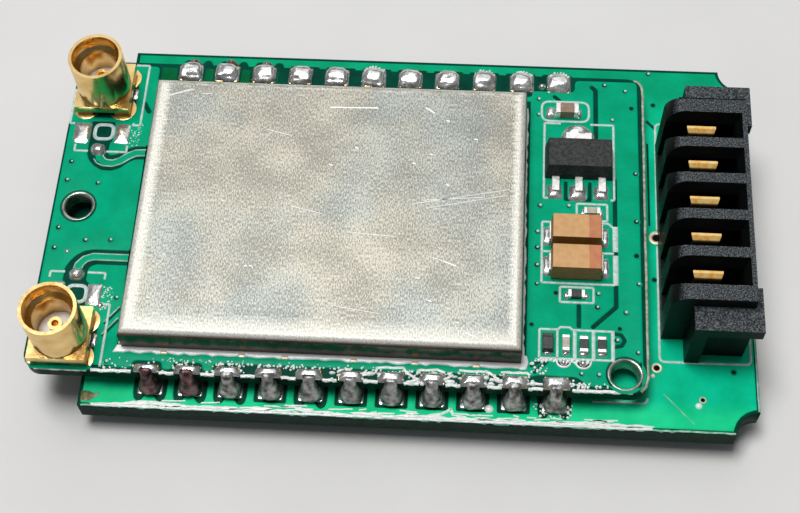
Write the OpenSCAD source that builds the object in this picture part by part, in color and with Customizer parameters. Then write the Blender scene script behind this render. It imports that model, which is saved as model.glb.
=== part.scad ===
// Radio control transmitter module: a castellated radio board with a shield can and two
// coaxial jacks, soldered edge to edge onto a carrier board with a slotted blade connector.
// Millimetres. +Z up, +X towards the blade connector, origin under the middle of the whole
// part, on the plane of the connector's tail tips.

/* [Radio board] */
// Length of the radio board along X
module_length = 38.86; // [36:0.02:46]
// Width of the radio board along Y
module_width = 23.34; // [22.6:0.02:30]
// Thickness of the radio board
module_thickness = 1.0; // [0.6:0.1:1.6]
// Radius of the radio board's corners
module_corner_radius = 1.0; // [0.3:0.1:1.2]
// Number of castellated pads on each long side
pad_count = 11; // [7:1:12]
// Distance between neighbouring castellated pads
pad_pitch = 2.54; // [2:0.01:2.7]
// Distance from the board's left edge to the middle of a pad row
pad_row_inset = 20.55; // [19.5:0.05:21.5]
// Diameter of the half-round edge plating
castellation_diameter = 1.0; // [0.6:0.05:1.1]
// Diameter of the two plated mounting holes
mount_hole_diameter = 1.85; // [1:0.05:2]
// Distance from the left mounting hole's centre to the left edge
left_hole_inset = 1.72; // [1.4:0.01:2]
// Distance from the right mounting hole's centre to the right edge
right_hole_inset = 1.39; // [1.2:0.01:2]
// Distance from the right mounting hole's centre to the front edge
right_hole_front_inset = 1.24; // [1.1:0.01:1.6]

/* [Carrier board] */
// Thickness of the carrier board
carrier_thickness = 1.6; // [0.8:0.1:2.4]
// How far the carrier shows in front of the radio board
carrier_front_ledge = 1.63; // [1.2:0.01:6]
// How far the carrier shows behind the radio board
carrier_rear_ledge = 2.23; // [1.2:0.01:6]
// How far the radio board reaches past the carrier's left edge
module_overhang = 3.35; // [2.4:0.05:5]
// Radius of the round bites out of the carrier's two right corners
corner_bite_radius = 1.5; // [0.5:0.1:3]
// Width of the tongue that carries on under the radio board's left end
tongue_width = 13; // [8:0.5:20]
// Distance the tongue stops short of the radio board's left edge
tongue_setback = 0.25; // [0.05:0.05:1]
// Air gap between the two boards
board_gap = 0.9; // [0.6:0.05:2]

/* [Solder joints] */
// Radius of an edge joint at its foot and at its crown
joint_foot_radius = 0.82; // [0.65:0.01:0.95]
// Radius of an edge joint at its waist or neck
joint_waist_radius = 0.6; // [0.56:0.01:0.64]
// Radius of the bulb at the foot of a front edge joint
joint_bulb_radius = 0.78; // [0.68:0.01:0.95]
// Height of that bulb's middle above the carrier
joint_bulb_height = 0.5; // [0.3:0.05:0.6]
// Height of an edge joint's crown above the radio board
joint_crown_height = 0.45; // [0.2:0.05:0.6]

/* [Shield can] */
// Length of the shield can along X
shield_length = 24.95; // [20:0.05:26]
// Width of the shield can along Y
shield_width = 19.05; // [12:0.05:20]
// Height of the shield can
shield_height = 2.1; // [1.6:0.05:3.5]
// Thickness of the shield's sheet metal
shield_sheet = 0.2; // [0.1:0.05:0.4]
// Inside radius of the folds along the shield's top
shield_fold_radius = 0.25; // [0.05:0.05:0.6]
// Distance from the radio board's left edge to the shield
shield_inset = 6.1; // [5.2:0.05:7]
// How far the shield sits in front of the radio board's middle
shield_forward = 0.48; // [0:0.02:0.6]

/* [Coaxial jacks] */
// Outside diameter of a jack's barrel
jack_barrel_diameter = 3.6; // [3:0.05:4.4]
// Height of a jack's rim above the radio board
jack_height = 4.33; // [3.8:0.01:7]
// Thickness of the barrel's wall at its rim
jack_rim_wall = 0.225; // [0.15:0.005:0.35]
// Depth of the wide mouth below the rim
jack_mouth_depth = 0.9; // [0.4:0.05:1.2]
// How far the bore steps in below the mouth
jack_step = 0.325; // [0.15:0.005:0.45]
// Height of the conical seat between mouth and bore
jack_seat_height = 0.35; // [0.1:0.05:0.5]
// Side of the square flange
jack_flange_size = 3.7; // [3.4:0.05:4.4]
// Thickness of the square flange
jack_flange_thickness = 0.6; // [0.3:0.05:0.8]
// Height of the feet under the flange's corners
jack_foot_height = 0.4; // [0.2:0.05:0.6]
// Side of a foot
jack_foot_size = 1.0; // [0.8:0.05:1.1]
// Distance between neighbouring legs
jack_leg_pitch = 2.54; // [2.2:0.01:2.7]
// Diameter of a leg
jack_leg_diameter = 0.7; // [0.5:0.05:0.75]
// Height of the insulator above the flange's underside
jack_insulator_height = 0.95; // [0.5:0.05:1.1]
// Bore of the centre contact's socket
jack_contact_bore = 0.45; // [0.3:0.01:0.5]
// Wall of the centre contact's socket
jack_contact_wall = 0.22; // [0.12:0.01:0.3]
// How far the centre contact stands above the insulator
jack_contact_rise = 0.9; // [0.4:0.05:1.1]
// Depth of the centre contact's socket
jack_contact_depth = 0.8; // [0.3:0.05:1]
// Diameter of the centre contact's tail
jack_tail_diameter = 0.5; // [0.3:0.05:0.55]
// Distance from the radio board's left edge to the jacks
jack_inset = 2.31; // [2.1:0.01:2.6]
// Distance from the rear jack's centre to the radio board's rear edge
jack_rear_inset = 2.66; // [2.1:0.02:3.4]
// Distance from the front jack's centre to the radio board's front edge
jack_front_inset = 2.06; // [2.02:0.02:3.4]
// Radial room round a leg or a tail in its hole
lead_clearance = 0.06; // [0.03:0.01:0.1]
// Room between the trimmed leads and the carrier board
lead_trim_clearance = 0.3; // [0.1:0.05:0.4]

/* [Parts beside the shield] */
// Distance from the shield to the middle of the column of parts
column_gap = 3.55; // [3.2:0.05:4.2]
// Length of the regulator's body
regulator_length = 4.5; // [4:0.1:5]
// Width of the regulator's body
regulator_width = 2.5; // [2.2:0.1:2.7]
// Height of the regulator's body
regulator_height = 1.5; // [1.2:0.05:1.8]
// How far the regulator's sides lean in over its height
regulator_draft = 0.19; // [0:0.01:0.3]
// Distance between the regulator's leads
regulator_lead_pitch = 1.52; // [1.4:0.02:1.6]
// Width of a regulator lead
regulator_lead_width = 0.5; // [0.35:0.05:0.7]
// Length of a regulator lead in front of the body
regulator_lead_length = 1.05; // [0.8:0.05:1.2]
// Thickness of the regulator's leads and tab
regulator_lead_thickness = 0.4; // [0.2:0.05:0.5]
// Width of the regulator's tab
regulator_tab_width = 1.75; // [1.4:0.05:2.2]
// Length of the regulator's tab behind the body
regulator_tab_length = 1.0; // [0.5:0.05:1.3]
// How far the regulator sits behind the board's middle
regulator_y = 4.7; // [4.4:0.05:4.9]
// Length of a tantalum capacitor over its terminals
tantalum_length = 3.45; // [3:0.05:3.6]
// Width of a tantalum capacitor
tantalum_width = 1.8; // [1.4:0.05:1.9]
// Height of a tantalum capacitor
tantalum_height = 1.6; // [1.2:0.05:1.8]
// How far the upper half of a tantalum capacitor leans in
tantalum_draft = 0.06; // [0:0.01:0.15]
// Thickness of a tantalum capacitor's terminals
tantalum_sheet = 0.12; // [0.08:0.01:0.2]
// Width of a tantalum capacitor's terminals
tantalum_terminal_width = 1.2; // [0.8:0.05:1.4]
// Length of a terminal's foot under the body
tantalum_foot = 0.8; // [0.4:0.05:1]
// Distance between the two tantalum capacitors
tantalum_pitch = 2.2; // [2:0.05:2.3]
// How far the tantalum pair sits in front of the board's middle
tantalum_forward = 2.0; // [1.95:0.05:2.15]
// How far the tantalum pair sits left of the column's middle
tantalum_left = 0.2; // [0:0.05:0.3]
// Length of the chip capacitor behind the regulator
large_chip_length = 1.52; // [1.4:0.02:1.7]
// Width and height of that capacitor
large_chip_width = 0.8; // [0.6:0.02:0.9]
// Length of an end cap of that capacitor
large_chip_cap = 0.31; // [0.2:0.01:0.4]
// Length of the small chip parts
chip_length = 1.06; // [0.9:0.02:1.2]
// Width of the small chip resistors
chip_width = 0.57; // [0.4:0.01:0.65]
// Length of an end cap of a small chip part
chip_cap = 0.22; // [0.12:0.01:0.3]
// Width and height of the small chip capacitors
small_capacitor_width = 0.5; // [0.4:0.02:0.6]
// Width of the chip inductor
inductor_width = 0.68; // [0.5:0.02:0.75]
// Height of the chip inductor
inductor_height = 0.62; // [0.4:0.02:0.8]
// Height of the chip resistors
resistor_height = 0.4; // [0.3:0.05:0.6]
// How far an end cap stands proud of the body
chip_cap_proud = 0.02; // [0.01:0.01:0.06]
// Distance between the chips in the front row
chip_row_pitch = 1.12; // [1:0.02:1.2]
// How far the front row sits in front of the board's middle
chip_row_forward = 8.6; // [8.3:0.05:8.8]
// How far the front row's middle sits left of the column's middle
chip_row_left = 0.25; // [0:0.05:0.4]
// How far the single resistor sits in front of the board's middle
resistor_forward = 5.1; // [5:0.05:5.6]
// How far the single resistor sits left of the column's middle
resistor_left = 0.15; // [0:0.05:0.6]
// How far the chip capacitor behind the regulator sits from the board's middle
rear_capacitor_y = 8.65; // [8.3:0.05:9]
// How far that capacitor sits left of the column's middle
rear_capacitor_left = 0.8; // [0:0.05:1]
// How far the small capacitor sits behind the board's middle
small_capacitor_y = 0.93; // [0.7:0.01:1.2]
// How far the small capacitor sits right of the column's middle
small_capacitor_right = 0.85; // [0.5:0.05:0.95]

/* [Parts under the shield] */
// Side of the square transceiver chip
transceiver_size = 4; // [3:0.1:5]
// Side of the square controller chip
controller_size = 6; // [4:0.1:7]
// Side of the square power amplifier chip
amplifier_size = 3; // [2:0.1:4]
// Length of the crystal's can
crystal_length = 3.2; // [2:0.1:4]
// Width of the crystal's can
crystal_width = 2.5; // [1.6:0.1:3]
// Height of the parts under the shield
inner_part_height = 0.9; // [0.5:0.05:1.1]

/* [Blade connector] */
// Number of contact slots
slot_count = 5; // [3:1:6]
// Distance between neighbouring slots
slot_pitch = 2.64; // [2.5:0.02:3]
// Width of a slot at its mouth
slot_width = 1.93; // [1.8:0.01:2.1]
// How far each side of a slot's mouth slopes in
slot_lead_in = 0.3; // [0.1:0.02:0.35]
// Depth of the sloped part of a slot's mouth
slot_lead_depth = 0.9; // [0.4:0.05:1.2]
// Thickness of the housing's wall beyond the outer slots
end_wall = 1.05; // [0.7:0.05:2]
// Thickness of the rail that closes the slots on the right
rail = 0.3; // [0.2:0.05:0.6]
// Thickness of the housing's floor
housing_floor = 1.0; // [0.5:0.05:1.6]
// Depth of the housing along X
housing_depth = 5.1; // [4.6:0.05:6]
// Height of the housing above the carrier
housing_height = 5.85; // [5.4:0.05:8]
// Radius of the housing's long upper left edge
housing_round = 1.2; // [0.3:0.05:2]
// Gap between the radio board and the housing
connector_gap = 1.09; // [0.3:0.01:3]
// Distance from the housing to the carrier's right edge
connector_edge = 0.95; // [0.9:0.05:3]
// Length of the guide ears at the housing's two ends
ear_length = 1.6; // [0.8:0.05:2.5]
// How far the ears' tops lie below the housing's top
ear_drop = 0.95; // [0.3:0.05:1.5]
// Thickness of an ear's overhanging lip
ear_lip = 0.95; // [0.4:0.05:1.5]
// Distance from the housing's left face to the ears
ear_setback = 1.4; // [0.6:0.05:2]
// Width of the post under an ear's lip
ear_post = 0.9; // [0.5:0.05:1.5]
// How far the wall beside the post lies back under the lip
ear_recess = 0.6; // [0.2:0.05:0.7]
// How far an ear's lip wraps past the housing's right face
ear_wrap = 0.5; // [0.2:0.05:0.8]
// How far that wrap runs along the housing's right face
ear_wrap_length = 1.4; // [0.5:0.05:2.5]
// Width of a contact's spring leaves along X
leaf_width = 1.85; // [1.7:0.05:2.2]
// Width of the rear leaf where it pinches a blade
leaf_neck = 1.6; // [1:0.05:1.7]
// Thickness of a contact's spring leaves
leaf_thickness = 0.18; // [0.1:0.01:0.2]
// Distance from the housing's left face to the contacts' middle
contact_inset = 2.3; // [2:0.05:2.6]
// Gap between the two leaves where they pinch a blade
pinch_gap = 0.12; // [0.06:0.02:0.2]
// How far the leaves pinch a blade in front of the slot's middle
pinch_forward = 0.2; // [0:0.02:0.24]
// How far the front leaf's tip lies below the rear leaf's lip
front_leaf_drop = 1.2; // [0.5:0.05:2]
// How far the contacts' tips lie below the housing's top
contact_drop = 0.75; // [0.5:0.05:1.2]
// How far the rear leaf's lip flares out
lip_reach = 0.3; // [0.1:0.02:0.32]
// Height of the rear leaf's flared lip
lip_height = 0.28; // [0.1:0.02:0.5]
// Side of a contact's square tail
tail_side = 0.6; // [0.4:0.05:0.7]
// How far the tails stand out below the carrier
tail_drop = 1.2; // [0.6:0.05:3]
// Height of the solder cone round each tail
tail_solder_height = 0.7; // [0.2:0.05:0.9]
// Radius of the solder cone on the carrier
tail_solder_radius = 0.85; // [0.7:0.05:1.1]

/* [Hidden] */
$fn = 48;
// Overshoot of a cutting tool past the face that it opens
cut = 0.5;

carrier_bottom = tail_drop;
carrier_top = carrier_bottom + carrier_thickness;
module_bottom = carrier_top + board_gap;
module_top = module_bottom + module_thickness;

carrier_length = module_length - module_overhang + connector_gap + housing_depth + connector_edge;
carrier_width = module_width + carrier_front_ledge + carrier_rear_ledge;
overall_length = module_overhang + carrier_length;
module_left = -overall_length / 2;
module_right = module_left + module_length;
module_y = (carrier_front_ledge - carrier_rear_ledge) / 2;
carrier_left = module_left + module_overhang;
carrier_right = carrier_left + carrier_length;
tongue_left = module_left + tongue_setback;

pad_row_x = module_left + pad_row_inset;
left_hole_x = module_left + left_hole_inset;
right_hole_x = module_right - right_hole_inset;
right_hole_y = module_y - module_width / 2 + right_hole_front_inset;

shield_left = module_left + shield_inset;
shield_x = shield_left + shield_length / 2;
shield_y = module_y - shield_forward;
column_x = shield_left + shield_length + column_gap;

jack_x = module_left + jack_inset;
jack_rear_y = module_y + module_width / 2 - jack_rear_inset;
jack_front_y = module_y - module_width / 2 + jack_front_inset;
jack_mouth_radius = jack_barrel_diameter / 2 - jack_rim_wall;
jack_bore_radius = jack_mouth_radius - jack_step;
jack_contact_radius = jack_contact_bore / 2 + jack_contact_wall;
jack_lead_drop = module_thickness + board_gap - lead_trim_clearance;

housing_left = module_right + connector_gap;
housing_length = (slot_count - 1) * slot_pitch + slot_width + 2 * end_wall;
slot_low_width = slot_width - 2 * slot_lead_in;
ear_height = housing_height - ear_drop;
contact_top = housing_height - contact_drop;

chip_row_y = module_y - chip_row_forward;
function chip_row_x(i) = column_x - chip_row_left + (i - 1.5) * chip_row_pitch;
function slot_y(i) = (i - (slot_count - 1) / 2) * slot_pitch;
function pad_x(i) = pad_row_x + (i - (pad_count - 1) / 2) * pad_pitch;

// Rectangle with all four corners rounded, centred
module rounded_rectangle(length, width, radius) {
    square([length - 2 * radius, width], center = true);
    square([length, width - 2 * radius], center = true);
    for (x = [-1, 1], y = [-1, 1])
        translate([x * (length / 2 - radius), y * (width / 2 - radius)]) circle(radius);
}

// Upright outline with its two upper corners rounded, standing on the X axis
module arch(width, height, radius) {
    translate([-width / 2, 0]) square([width, height - radius]);
    translate([-width / 2 + radius, 0]) square([width - 2 * radius, height]);
    for (x = [-1, 1]) translate([x * (width / 2 - radius), height - radius]) circle(radius);
}

// Turns a flat outline upright and runs it along Y, centred
module along_y(run) {
    rotate([90, 0, 0]) linear_extrude(run, center = true) children();
}

// Turns a flat outline upright and runs it along X, centred
module along_x(run) {
    rotate([90, 0, 90]) linear_extrude(run, center = true) children();
}

// Block standing on z = 0, centred in X and Y
module block(length, width, height) {
    translate([-length / 2, -width / 2, 0]) cube([length, width, height]);
}

module at_pads(side) {
    for (i = [0 : pad_count - 1])
        translate([pad_x(i), module_y + side * module_width / 2, 0]) children();
}

module at_slots() {
    for (i = [0 : slot_count - 1]) translate([0, slot_y(i), 0]) children();
}

module at_jack_legs() {
    for (x = [-1, 1], y = [-1, 1])
        translate([x * jack_leg_pitch / 2, y * jack_leg_pitch / 2, 0]) children();
}

module on_board(x, y) {
    translate([x, y, module_top]) children();
}

// Carrier board: rectangle, tongue to the left, round bites out of the right corners
module carrier_board() {
    color("seagreen") translate([0, 0, carrier_bottom]) difference() {
        linear_extrude(carrier_thickness) difference() {
            union() {
                translate([carrier_left, -carrier_width / 2]) square([carrier_length, carrier_width]);
                translate([tongue_left, module_y - tongue_width / 2])
                    square([carrier_left - tongue_left, tongue_width]);
            }
            for (y = [-1, 1]) translate([carrier_right, y * carrier_width / 2]) circle(corner_bite_radius);
        }
        translate([housing_left + contact_inset, 0, -cut]) at_slots()
            cylinder(r = tail_side / sqrt(2) + lead_clearance, h = carrier_thickness + 2 * cut);
    }
}

// Radio board: rounded rectangle with half-round plated edges, mounting holes and jack holes
module module_board() {
    color("mediumseagreen") difference() {
        translate([(module_left + module_right) / 2, module_y, module_bottom])
            linear_extrude(module_thickness) rounded_rectangle(module_length, module_width, module_corner_radius);
        translate([0, 0, module_bottom - cut]) {
            for (side = [-1, 1]) at_pads(side) through_hole(castellation_diameter);
            translate([left_hole_x, module_y, 0]) through_hole(mount_hole_diameter);
            translate([right_hole_x, right_hole_y, 0]) through_hole(mount_hole_diameter);
            for (y = [jack_rear_y, jack_front_y]) translate([jack_x, y, 0]) {
                at_jack_legs() through_hole(jack_leg_diameter + 2 * lead_clearance);
                through_hole(jack_tail_diameter + 2 * lead_clearance);
            }
        }
    }
}

module through_hole(diameter) {
    cylinder(d = diameter, h = module_thickness + 2 * cut);
}

// Rear edge joint's column: narrows to a waist between the carrier and the radio board's top
module waisted_column(height) {
    flare = joint_foot_radius - joint_waist_radius;
    waist_arc = (flare * flare + height * height / 4) / (2 * flare);
    rotate_extrude() difference() {
        square([joint_foot_radius, height]);
        translate([joint_waist_radius + waist_arc, height / 2]) circle(waist_arc, $fn = 96);
    }
}

// Front edge joint's column: a straight neck that ends in a bulb on the carrier
module bulbous_column(height) {
    rotate_extrude() {
        square([joint_waist_radius, height]);
        intersection() {
            translate([0, joint_bulb_height]) circle(joint_bulb_radius, $fn = 96);
            square([joint_bulb_radius, height]);
        }
    }
}

// One edge joint: a solder column from the carrier up round the radio board's edge, with a crown
// on the pad
module edge_joint(side) {
    column_height = module_top - carrier_top;
    crown_sphere = (joint_foot_radius * joint_foot_radius + joint_crown_height * joint_crown_height)
        / (2 * joint_crown_height);
    difference() {
        union() {
            translate([0, 0, carrier_top]) {
                if (side > 0) waisted_column(column_height);
                else bulbous_column(column_height);
            }
            intersection() {
                translate([0, 0, module_top + joint_crown_height - crown_sphere]) sphere(crown_sphere);
                translate([0, 0, module_top]) cylinder(r = joint_foot_radius, h = joint_crown_height);
            }
        }
        translate([0, 0, module_bottom]) difference() {
            translate([-2 * joint_foot_radius, side > 0 ? -2 * joint_foot_radius : 0, 0])
                cube([4 * joint_foot_radius, 2 * joint_foot_radius, module_thickness]);
            translate([0, 0, -cut]) through_hole(castellation_diameter);
        }
    }
}

module edge_joints_rear() { color("silver") at_pads(1) edge_joint(1); }
module edge_joints_front() { color("dimgray") at_pads(-1) edge_joint(-1); }

// Shield can: one sheet folded down along its four sides
module shield_can() {
    color("lightgray") on_board(shield_x, shield_y) difference() {
        folded_box(shield_length, shield_width, shield_height, shield_fold_radius + shield_sheet);
        translate([0, 0, -shield_sheet])
            folded_box(shield_length - 2 * shield_sheet, shield_width - 2 * shield_sheet, shield_height,
                shield_fold_radius);
    }
}

module folded_box(length, width, height, radius) {
    intersection() {
        along_y(width) arch(length, height, radius);
        along_x(length) arch(width, height, radius);
    }
}

// Jack: turned barrel with a stepped bore on a square flange, four feet and four legs
module jack_body() {
    flange_top = jack_foot_height + jack_flange_thickness;
    seat_top = jack_height - jack_mouth_depth;
    seat_bottom = seat_top - jack_seat_height;
    difference() {
        union() {
            translate([0, 0, jack_foot_height]) block(jack_flange_size, jack_flange_size, jack_flange_thickness);
            translate([0, 0, jack_foot_height]) cylinder(d = jack_barrel_diameter, h = jack_height - jack_foot_height);
        }
        rotate_extrude() polygon([[0, 0], [jack_bore_radius, 0], [jack_bore_radius, seat_bottom],
            [jack_mouth_radius, seat_top], [jack_mouth_radius, jack_height + cut], [0, jack_height + cut]]);
    }
    at_jack_legs() {
        block(jack_foot_size, jack_foot_size, jack_foot_height);
        translate([0, 0, -jack_lead_drop]) cylinder(d = jack_leg_diameter, h = jack_lead_drop);
    }
}

module jack_insulator() {
    translate([0, 0, jack_foot_height]) difference() {
        cylinder(r = jack_bore_radius, h = jack_insulator_height);
        translate([0, 0, -cut]) cylinder(r = jack_contact_radius, h = jack_insulator_height + 2 * cut);
    }
}

module jack_contact() {
    contact_height = jack_insulator_height + jack_contact_rise;
    translate([0, 0, jack_foot_height]) difference() {
        cylinder(r = jack_contact_radius, h = contact_height);
        translate([0, 0, contact_height - jack_contact_depth])
            cylinder(d = jack_contact_bore, h = jack_contact_depth + cut);
    }
    translate([0, 0, -jack_lead_drop]) cylinder(d = jack_tail_diameter, h = jack_lead_drop + jack_foot_height);
}

module jack_rear_body() { color("gold") on_board(jack_x, jack_rear_y) jack_body(); }
module jack_front_body() { color("gold") on_board(jack_x, jack_front_y) jack_body(); }
module jack_rear_insulator() { color("white") on_board(jack_x, jack_rear_y) jack_insulator(); }
module jack_front_insulator() { color("white") on_board(jack_x, jack_front_y) jack_insulator(); }
module jack_rear_contact() { color("goldenrod") on_board(jack_x, jack_rear_y) jack_contact(); }
module jack_front_contact() { color("goldenrod") on_board(jack_x, jack_front_y) jack_contact(); }

// Moulded block whose four sides lean in towards the top, standing on z = 0
module drafted_block(length, width, height, draft) {
    intersection() {
        along_y(width) drafted_outline(length, height, draft);
        along_x(length) drafted_outline(width, height, draft);
    }
}

module drafted_outline(width, height, draft) {
    polygon([[-width / 2, 0], [width / 2, 0], [width / 2 - draft, height], [-width / 2 + draft, height]]);
}

module regulator_body() {
    color([0.12, 0.12, 0.13]) on_board(column_x, module_y + regulator_y)
        drafted_block(regulator_length, regulator_width, regulator_height, regulator_draft);
}

// Three leads to the front and one wide tab to the rear, each lying flat on the board. Each starts
// on the body's leaning face.
module regulator_leads() {
    reach = regulator_width / 2;
    color("silver") on_board(column_x, module_y + regulator_y) difference() {
        union() {
            for (i = [-1, 0, 1]) translate([i * regulator_lead_pitch - regulator_lead_width / 2, 0, 0])
                mirror([0, 1, 0]) cube([regulator_lead_width, reach + regulator_lead_length, regulator_lead_thickness]);
            translate([-regulator_tab_width / 2, 0, 0])
                cube([regulator_tab_width, reach + regulator_tab_length, regulator_lead_thickness]);
        }
        drafted_block(regulator_length, regulator_width, regulator_height, regulator_draft);
    }
}

// Straight lower half and a leaning upper half, as its mould parts
module tantalum_body() {
    body_length = tantalum_length - 2 * tantalum_sheet;
    half_height = tantalum_height / 2;
    translate([0, 0, tantalum_sheet]) block(body_length, tantalum_width, half_height - tantalum_sheet);
    translate([0, 0, half_height]) drafted_block(body_length, tantalum_width, half_height, tantalum_draft);
}

// Two sheet terminals that run up the ends and fold in under the body
module tantalum_terminals() {
    for (side = [0, 1]) mirror([side, 0, 0]) translate([tantalum_length / 2, -tantalum_terminal_width / 2, 0]) {
        translate([-tantalum_sheet, 0, 0]) cube([tantalum_sheet, tantalum_terminal_width, tantalum_height / 2]);
        translate([-tantalum_foot, 0, 0]) cube([tantalum_foot, tantalum_terminal_width, tantalum_sheet]);
    }
}

module at_tantalum(side) {
    on_board(column_x - tantalum_left, module_y - tantalum_forward + side * tantalum_pitch / 2) children();
}

module tantalum_rear_body() { color("orange") at_tantalum(1) tantalum_body(); }
module tantalum_front_body() { color("orange") at_tantalum(-1) tantalum_body(); }
module tantalum_rear_terminals() { color("silver") at_tantalum(1) tantalum_terminals(); }
module tantalum_front_terminals() { color("silver") at_tantalum(-1) tantalum_terminals(); }

// Chip part along X: a body between two end caps that stand a little proud of it
module chip_body(length, width, height, cap) {
    translate([0, 0, chip_cap_proud])
        block(length - 2 * cap, width - 2 * chip_cap_proud, height - 2 * chip_cap_proud);
}

module chip_ends(length, width, height, cap) {
    for (side = [-1, 1]) translate([side * (length - cap) / 2, 0, 0]) block(cap, width, height);
}

module large_capacitor_body() {
    chip_body(large_chip_length, large_chip_width, large_chip_width, large_chip_cap);
}
module large_capacitor_ends() {
    chip_ends(large_chip_length, large_chip_width, large_chip_width, large_chip_cap);
}
module capacitor_body() { chip_body(chip_length, small_capacitor_width, small_capacitor_width, chip_cap); }
module capacitor_ends() { chip_ends(chip_length, small_capacitor_width, small_capacitor_width, chip_cap); }
module inductor_body() { chip_body(chip_length, inductor_width, inductor_height, chip_cap); }
module inductor_ends() { chip_ends(chip_length, inductor_width, inductor_height, chip_cap); }
module flat_resistor_body() { chip_body(chip_length, chip_width, resistor_height, chip_cap); }
module flat_resistor_ends() { chip_ends(chip_length, chip_width, resistor_height, chip_cap); }

module at_rear_capacitor() {
    on_board(column_x - rear_capacitor_left, module_y + rear_capacitor_y) children();
}
module rear_capacitor_body() { color("peru") at_rear_capacitor() large_capacitor_body(); }
module rear_capacitor_ends() { color("silver") at_rear_capacitor() large_capacitor_ends(); }

module at_small_capacitor() {
    on_board(column_x + small_capacitor_right, module_y + small_capacitor_y) children();
}
module small_capacitor_body() { color("peru") at_small_capacitor() capacitor_body(); }
module small_capacitor_ends() { color("silver") at_small_capacitor() capacitor_ends(); }

module at_resistor() {
    on_board(column_x - resistor_left, module_y - resistor_forward) children();
}
module resistor_body() { color("black") at_resistor() flat_resistor_body(); }
module resistor_ends() { color("silver") at_resistor() flat_resistor_ends(); }

// Front row of four chips, each turned to lie along Y
module at_row(i) {
    on_board(chip_row_x(i), chip_row_y) rotate([0, 0, 90]) children();
}
module row_inductor_body() { color("black") at_row(0) inductor_body(); }
module row_inductor_ends() { color("silver") at_row(0) inductor_ends(); }
module row_capacitor_body() { color("tan") at_row(1) capacitor_body(); }
module row_capacitor_ends() { color("silver") at_row(1) capacitor_ends(); }
module row_resistor_left_body() { color("black") at_row(2) flat_resistor_body(); }
module row_resistor_left_ends() { color("silver") at_row(2) flat_resistor_ends(); }
module row_resistor_right_body() { color("black") at_row(3) flat_resistor_body(); }
module row_resistor_right_ends() { color("silver") at_row(3) flat_resistor_ends(); }

// Parts sealed under the shield, one in each quarter
module at_quarter(x, y) {
    on_board(shield_x + x * shield_length / 4, shield_y + y * shield_width / 4) children();
}
module transceiver_chip() {
    color([0.15, 0.15, 0.16]) at_quarter(1, 1) block(transceiver_size, transceiver_size, inner_part_height);
}
module controller_chip() {
    color([0.15, 0.15, 0.16]) at_quarter(1, -1) block(controller_size, controller_size, inner_part_height);
}
module amplifier_chip() {
    color([0.15, 0.15, 0.16]) at_quarter(-1, -1) block(amplifier_size, amplifier_size, inner_part_height);
}
module crystal_can() {
    color("silver") at_quarter(-1, 1) block(crystal_length, crystal_width, inner_part_height);
}

// Blade connector frame: X from the housing's left face, Y from its middle, Z from the carrier
module on_carrier() {
    translate([housing_left, 0, carrier_top]) children();
}

module connector_housing() {
    color([0.1, 0.1, 0.1]) on_carrier() difference() {
        union() {
            housing_block();
            for (side = [0, 1]) mirror([0, side, 0]) translate([0, housing_length / 2, 0]) housing_ear();
        }
        at_slots() {
            slot();
            translate([contact_inset, 0, -cut])
                block(tail_side + 2 * lead_clearance, tail_side + 2 * lead_clearance, housing_floor + 2 * cut);
        }
    }
}

module housing_block() {
    rotate([90, 0, 0]) linear_extrude(housing_length, center = true) {
        square([housing_depth, housing_height - housing_round]);
        translate([housing_round, 0]) square([housing_depth - housing_round, housing_height]);
        translate([housing_round, housing_height - housing_round]) circle(housing_round);
    }
}

// Slot open to the top and to the left, with sloped sides at its mouth
module slot() {
    right_end = housing_depth - rail;
    lead_bottom = housing_height - slot_lead_depth;
    slope = slot_lead_in / slot_lead_depth;
    past_top = housing_height + cut;
    translate([-cut, -slot_low_width / 2, housing_floor])
        cube([right_end - slot_lead_in + cut, slot_low_width, past_top - housing_floor]);
    intersection() {
        translate([right_end / 2, 0, 0]) along_x(2 * housing_depth)
            polygon([[-slot_low_width / 2, lead_bottom], [slot_low_width / 2, lead_bottom],
                [slot_width / 2 + slope * cut, past_top], [-slot_width / 2 - slope * cut, past_top]]);
        along_y(slot_pitch)
            polygon([[-cut, lead_bottom], [right_end - slot_lead_in, lead_bottom],
                [right_end + slope * cut, past_top], [-cut, past_top]]);
    }
}

// Guide ear: a lip that wraps the housing's right corner, on a post and a set-back wall
module housing_ear() {
    lip_bottom = ear_height - ear_lip;
    translate([ear_setback, 0, lip_bottom])
        cube([housing_depth + ear_wrap - ear_setback, ear_length, ear_lip]);
    translate([housing_depth, -ear_wrap_length, lip_bottom]) cube([ear_wrap, ear_wrap_length, ear_lip]);
    translate([ear_setback, 0, 0]) cube([ear_post, ear_length, lip_bottom]);
    translate([ear_setback + ear_post, 0, 0])
        cube([housing_depth - ear_setback - ear_post, ear_length - ear_recess, lip_bottom]);
}

// Fork contact: two spring leaves on one base that pinch a blade, with a tail to the carrier. The rear
// leaf ends in a flared lip that leads the blade in, the front leaf is shorter and straight.
module connector_contact(i) {
    half_base = slot_low_width / 2 - lead_clearance;
    bend_height = housing_floor + 2 * leaf_thickness;
    color("gold") on_carrier() translate([contact_inset, slot_y(i - 1), 0]) {
        along_x(leaf_width) translate([-half_base, housing_floor]) square([2 * half_base, leaf_thickness]);
        intersection() {
            along_x(leaf_width) rear_leaf_profile(half_base, bend_height);
            along_y(slot_width) rear_leaf_outline();
        }
        along_x(leaf_width) mirror([1, 0]) front_leaf_profile(half_base, bend_height);
        translate([0, 0, -carrier_top])
            block(tail_side, tail_side, carrier_top + housing_floor + leaf_thickness);
    }
}

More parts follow.
